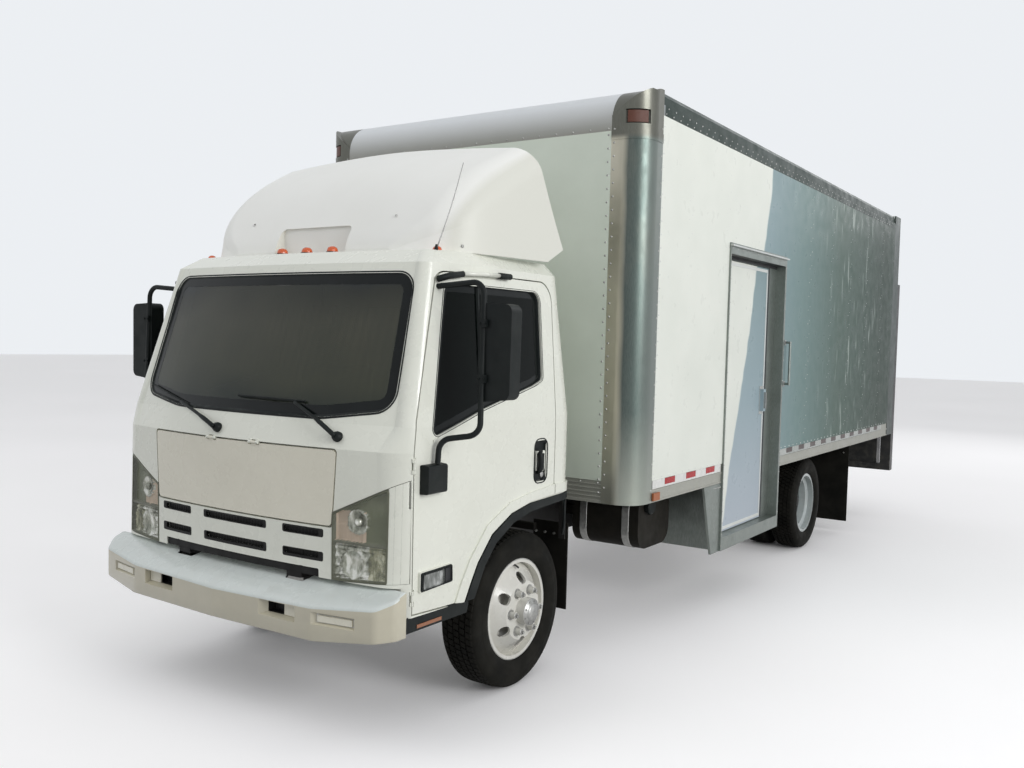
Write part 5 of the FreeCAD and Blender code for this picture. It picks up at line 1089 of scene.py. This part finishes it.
def build_rear_trim():
    """The roll-up door's hinges and latch, the roof's rear lamps, and the gate's tread, bolts and lamps."""
    piece = Piece("rear_trim", "chassis", "rear_steel", "galvanised", "steel", "red_lens")
    door = REAR - 0.11
    for x in (-0.9, -0.3, 0.3, 0.9):
        for k in range(7):
            z = 1.05 + 0.3 * k
            piece.plate(x, door, z, 44, 4, 90, 1)
            piece.rivets(2, (x, door + 0.004, z - 0.025), Z * 0.05, Y, 0.005, 1)
    piece.plate(0, door, 1.96, 320, 5, 200, 1)
    handle = [(-0.1, door + 0.02, 1.96), (0.02, door + 0.028, 1.96), (0.12, door + 0.02, 1.96)]
    piece.add(pipe(handle, 0.01), 1, True)
    piece.plate(-0.11, door, 1.96, 40, 30, 60, 1)
    piece.plate(0.12, door, 1.96, 40, 22, 60, 1)
    for x in (-1.16, -0.16, 0.0, 0.16, 1.16):
        piece.plate(x, REAR, 3.115, 70, 14, 30, 2)
    for hand in (1, -1):
        piece.rivets(24, (hand * 1.203, REAR, 1.02), Z * 0.088, Y, 0.0055, 1)
        for z in (1.2, 1.9, 2.7):
            piece.plate(hand * 1.135, REAR, z, 40, 10, 100)
    piece.done(0.001)
    gate = Piece("lift_gate_trim", "chassis", "gate_black", "gate_black", "steel", "red_lens", "dark_trim")
    black, steel, red, dark = range(4)
    face = REAR + 0.17
    for k in range(22):
        gate.plate(0, face - 0.0005, 0.585 + 0.05 * k, 2040, 3, 10, dark)
    for x in (-0.62, 0.62):
        gate.turned((x, face, 1.62), Y, [(30, 0), (30, 4), (12, 5)], 16, steel)
    for hand in (1, -1):
        x = hand * (SIDE - 0.056)
        gate.rivets(14, (x + 0.03 * hand, REAR + 0.11, 0.8), Z * 0.12, Y, 0.006, steel)
        gate.plate(x, REAR + 0.11, 1.65, 40, 6, 1620, dark)
        for z in (0.56, 0.7):
            place = (x, REAR + 0.1262, z)
            gate.turned(place, Y, [(47, -12), (47, 2), (40, 4), (38, 1)], 24, black)
            gate.turned(place, Y, [(38, 1), (30, 3), (16, 4.5), (1, 5)], 24, red, True)
    gate.done(0.0008)


def build_chassis_trim():
    """Tank straps and cap, a stay and hose behind the front wheel, flap bolts and spring bolts."""
    piece = Piece("chassis_trim", "chassis", "frame_black", "steel", "black_plastic", "chassis")
    outline = rounded(mm((1240, 500), (1690, 500), (1690, 850), (1240, 850)), 0.11, 8)
    for x in (0.6, 0.9):
        rows = []
        for side, lift in ((-0.025, 0.0), (-0.023, 0.003), (0.023, 0.003), (0.025, 0.0)):
            row = [Vector((x + side, p.x, p.y)) for p in inward(outline, -lift)]
            rows.append(row + row[:1])
        piece.add(sheet(rows))
    cap = [(45, -1), (45, 12), (50, 14), (50, 34), (42, 40), (1, 40)]
    piece.turned((0.989, back(1360), 0.77), X, cap, 24, 1)
    for _, y, z in around((0, back(1360), 0.77), 0.049, 10):
        piece.box((1.003, y - 0.004, z - 0.004), (1.022, y + 0.004, z + 0.004), 1)
    bolt = [(8, 0), (8, 5), (2, 6)]
    for hand in (1, -1):
        piece.box((hand * 0.9 - 0.02, back(468), 0.69), (hand * 0.9 + 0.02, back(474), 0.915), 2)
        hose = ((0.905, 470, 0.905), (0.93, 440, 0.88), (0.935, 432, 0.8), (0.915, 450, 0.72))
        piece.add(pipe(curve_through([(x * hand, back(y), z) for x, y, z in hose]), 0.008, 8), 1, True)
        for y, z, start, step in ((490, 0.71, 0.72, 0.06), (5430, 0.78, 0.66, 0.46 / 3)):
            for k in range(4):
                piece.turned(((start + step * k) * hand, back(y), z), -Y, bolt, 8)
        for y, x, z in ((0, 0.385, 0.455), (4470, 0.48, 0.56)):
            for dy in (-50, 50):
                legs = ((x - 0.04, 0.375), (x - 0.04, z), (x + 0.04, z), (x + 0.04, 0.375))
                piece.add(pipe([(hand * across, back(y + dy), up) for across, up in legs], 0.008, 8))
    piece.done()


# Wheels

def tyre(piece, centre, count=72):
    """A tyre with ribs, tread blocks and rings on its walls, on the given wheel centre."""
    half, top, groove, shoulder = 0.113, HUB, 0.3925, 0.0905
    seat, bead, lip = 0.0767, 0.24795, 0.2608
    wall = [(bead, seat), (lip, seat), (lip, 0.089), (0.27, 0.0985), (0.293, 0.109), (0.313, 0.1125),
            (0.328, half), (0.331, half), (0.333, 0.1122), (0.352, 0.1115), (0.366, 0.1085),
            (0.379, 0.1035), (0.388, 0.096), (groove, 0.089)]
    section = wall + [(groove, 0.0)] + [(r, -a) for r, a in reversed(wall)]
    piece.add(lathe(centre, X, section, count, True), 0, True)
    pitch = 2 * math.pi / count
    span, skew = pitch * 0.8, pitch * 0.2
    faces = [(4, 5, 7, 6), (0, 4, 6, 2), (1, 3, 7, 5), (0, 1, 5, 4), (2, 6, 7, 3)]
    for low, high, shift in ((-shoulder, -0.057, 0.0), (-0.05, -0.022, 0.5), (-0.015, 0.015, 0.0),
                             (0.022, 0.05, 0.5), (0.057, shoulder, 0.0)):
        for k in range(count):
            turn = pitch * (k + shift)
            block = []
            for radius in (groove - 0.002, top):
                for across, lean in ((low, 0.0), (high, skew)):
                    worn = radius == top and abs(across) == shoulder
                    place, r = (across * 0.94, radius - 0.004) if worn else (across, radius)
                    for angle in (turn + lean, turn + lean + span):
                        block.append(centre + Vector((place, r * math.cos(angle), r * math.sin(angle))))
            piece.add((block, faces))


def build_wheels():
    """Tyres, and the nuts, caps and valves on the rims."""
    nut = [(18, -1), (15, 3), (9, 3.5), (9, 12), (1, 13)]
    studs = 0.111125       # radius of the circle of wheel nuts
    for side, hand in HANDS:
        out = X * hand
        centre, middle = Vector((0.8325 * hand, AXLE, HUB)), Vector((0.825 * hand, REAR_AXLE, HUB))
        front = Piece(f"front_tread_{side}", f"front_wheel_{side}", "tyre", "rubber")
        tyre(front, centre)
        front.done(replaces=(f"front_tyre_{side}",))
        rear = Piece(f"rear_tread_{side}", f"rear_wheels_{side}", "tyre", "rubber")
        for apart in (-0.134, 0.134):
            tyre(rear, middle + out * apart)
        rear.done(replaces=(f"rear_tyres_{side}",))
        nuts = Piece(f"front_nuts_{side}", f"front_wheel_{side}", "wheel_white",
                     "steel", "dark_trim", "steel")
        for place in around(centre + out * 0.127, studs, 6):
            nuts.turned(place, out, [(27, 0), (26, 4), (21, 5)], 20)
            nuts.turned(place + out * 0.034, out, nut, 6, 2)
        cap = [(70, -2), (68, 4), (50, 6), (46, 14), (40, 20), (1, 22)]
        nuts.turned(centre + out * 0.177, out, cap, 28, 0, True)
        for place in around(centre + out * 0.1805, 0.058, 8, 0.5):
            nuts.turned(place, out, [(6, 0), (6, 5), (1, 6)], 6)
        nuts.turned(centre + out * 0.089, out, [(256, 0), (257.5, 2), (260, 0.5)], 64, 0, True)
        nuts.add(pipe([centre + out * 0.06 + Z * 0.232, centre + out * 0.095 + Z * 0.215], 0.005, 8), 1)
        nuts.done()
        nuts = Piece(f"rear_nuts_{side}", f"rear_wheels_{side}", "wheel_white", "chrome", "chassis")
        cap = [(88, -2), (86, 4), (60, 6), (56, 22), (1, 24)]
        nuts.turned(middle + out * 0.13, out, cap, 28, 1, True)
        for place in around(middle + out * 0.134, 0.07, 8):
            nuts.turned(place, out, [(7, 0), (7, 6), (1, 7)], 6)
        for place in around(middle + out * 0.04, studs, 6):
            nuts.turned(place, out, nut, 6)
        nuts.done()


# Inside the cab

def cushion(name, low, high, upright=False):
    """A padded block, crowned on its top or, where it is upright, on its front; smoothed by subdivision."""
    work = bmesh.new()
    bmesh.ops.create_grid(work, x_segments=8, y_segments=8, size=0.5)
    for item in bmesh.ops.extrude_face_region(work, geom=work.faces[:])["geom"]:
        if isinstance(item, bmesh.types.BMVert):
            item.co.z += 1.0
    size = Vector(high) - Vector(low)
    for vertex in work.verts:
        u, v, w = vertex.co
        crown = (1 - (u * 2) ** 4) * (1 - (v * 2) ** 4)
        swell = 0.86 + 0.14 * crown if w > 0.5 else 0.06 * (1 - crown)
        x = low[0] + size.x * (u + 0.5)
        if upright:
            vertex.co = (x, high[1] - size.y * swell, low[2] + size.z * (v + 0.5))
        else:
            vertex.co = (x, low[1] + size.y * (v + 0.5), low[2] + size.z * swell)
    bmesh.ops.recalc_face_normals(work, faces=work.faces)
    mesh = bpy.data.meshes.new(name)
    work.to_mesh(mesh)
    work.free()
    mesh.materials.append(M["seat_cloth"])
    for face in mesh.polygons:
        face.use_smooth = True
    piece = bpy.data.objects.new(name, mesh)
    bpy.context.scene.collection.objects.link(piece)
    smooth = piece.modifiers.new("smooth", "SUBSURF")
    smooth.levels = smooth.render_levels = 2
    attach(piece, "cab")
    return piece


def build_inside():
    """Padded seats, the inner mirror, the steering wheel's hub and the dashboard's vents."""
    for side, low, high in (("driver", 0.4, 0.88), ("passenger", -0.88, -0.33)):
        seat = cushion(f"seat_{side}", (low, back(-290), 0.9905), (high, back(160), 1.15))
        cushion(f"backrest_{side}", (low, back(150), 1.1), (high, back(289), 1.61), True)
        if side == "driver":
            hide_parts("seats")
    trim = Piece("cab_inside_trim", "cab", "dash_plastic", "dark_trim", "black_plastic")
    trim.box((0.22, back(-800), 1.83), (0.36, back(-776), 1.93), 1)
    stem = [(0.29, back(-788), 1.92), (0.25, back(-750), 2.02), (0.22, back(-700), 2.09)]
    trim.add(pipe(stem, 0.008, 8), 1, True)
    hub = [(60, -10), (58, 18), (40, 28), (1, 30)]
    trim.turned((0.48, back(-560), 1.33), (0, 0.6, 0.8), hub, 20, 0, True)
    for x0, x1 in ((-0.7, -0.3), (0.28, 0.7)):
        trim.box((x0, back(-742), 1.3), (x1, back(-736), 1.345), 1)
    trim.done(0.003)


build_headlamps()
build_cab_front()
build_wipers()
for side, hand in HANDS:
    build_door_trim(side, hand)
build_fairing_trim()
build_step_trim()
build_bumper()
build_rivets()
build_tapes()
build_entry_trim()
build_rear_trim()
build_chassis_trim()
build_wheels()
build_inside()


# Floor, backdrop, light and camera

def seen(tree):
    """One for rays from the camera, from mirrors and through glass, and nought for others."""
    path = tree.nodes.new("ShaderNodeLightPath")
    share = path.outputs["Is Camera Ray"]
    for kind in ("Is Glossy Ray", "Is Transmission Ray"):
        node = tree.nodes.new("ShaderNodeMath")
        node.operation = "MAXIMUM"
        tree.links.new(share, node.inputs[0])
        tree.links.new(path.outputs[kind], node.inputs[1])
        share = node.outputs[0]
    return share


def build_stage():
    """A plain pale floor with a painted contact shadow under the truck, a pale sky and three lights."""
    bpy.ops.mesh.primitive_plane_add(size=120, location=(0, 0, 0))
    floor = bpy.context.object
    floor.name = "floor"
    s = Shader("floor_grey").set(Roughness=0.75, Specular_IOR_Level=0.1, Emission_Color=(1, 0.995, 1))
    pale = s.mix(s.cloud(0.25, 4), (0.76, 0.755, 0.76), (0.82, 0.81, 0.82))
    shown = seen(s.tree)
    # painted shadow: the floor's glow seen by the camera fades where the truck is near
    near = s.node("AmbientOcclusion", Distance=0.85)
    near.samples = 2
    glow_outside_contact_shadow = s.rise(near.outputs["AO"], 0.2, 0.75, 0.0, 0.29)
    s.set(Base_Color=s.mix(shown, (0.33, 0.33, 0.32), pale), Emission_Strength=s.times(shown, glow_outside_contact_shadow))
    floor.data.materials.append(s.mat)
    world = bpy.data.worlds.new("studio")
    bpy.context.scene.world = world
    world.use_nodes = True
    nodes, links = world.node_tree.nodes, world.node_tree.links
    plain, shown = nodes["Background"], nodes.new("ShaderNodeBackground")
    for node, colour, strength in ((plain, (0.96, 0.98, 1, 1), 0.5), (shown, (0.84, 0.865, 0.895, 1), 1)):
        node.inputs["Color"].default_value = colour
        node.inputs["Strength"].default_value = strength
    blend = nodes.new("ShaderNodeMixShader")
    links.new(seen(world.node_tree), blend.inputs["Fac"])
    links.new(plain.outputs["Background"], blend.inputs[1])
    links.new(shown.outputs["Background"], blend.inputs[2])
    links.new(blend.outputs[0], nodes["World Output"].inputs["Surface"])
    aim = Vector((0, -1, 1.4))
    for name, place, energy, size in (("key", (13.8, -4.5, 5.7), 1050, 6), ("fill", (-6, -10, 11), 430, 8),
                                      ("back", (3, 13, 8), 260, 8)):
        data = bpy.data.lights.new(name, "AREA")
        data.energy, data.size = energy, size
        light = bpy.data.objects.new(name, data)
        bpy.context.scene.collection.objects.link(light)
        light.location = place
        light.visible_glossy = name != "fill"
        light.rotation_euler = (aim - Vector(place)).to_track_quat("-Z", "Y").to_euler()
    bpy.context.scene.view_settings.view_transform = "Standard"


def build_camera():
    """The camera as fitted to the photo."""
    data = bpy.data.cameras.new("camera")
    data.lens, data.sensor_width = 33.586, 36
    data.shift_x, data.shift_y = -0.0029, 0.0044
    camera = bpy.data.objects.new("camera", data)
    ahead = Vector((-0.5551, 0.8303, -0.04998)).normalized()
    right = Vector((0.8303, 0.5567, 0.0259)).normalized()
    turn = Matrix((right, right.cross(ahead), -ahead)).transposed().to_4x4()
    camera.matrix_world = Matrix.Translation((3.6013, -4.0763 + AXLE, 1.7856)) @ turn
    bpy.context.scene.collection.objects.link(camera)
    bpy.context.scene.camera = camera


build_stage()
build_camera()
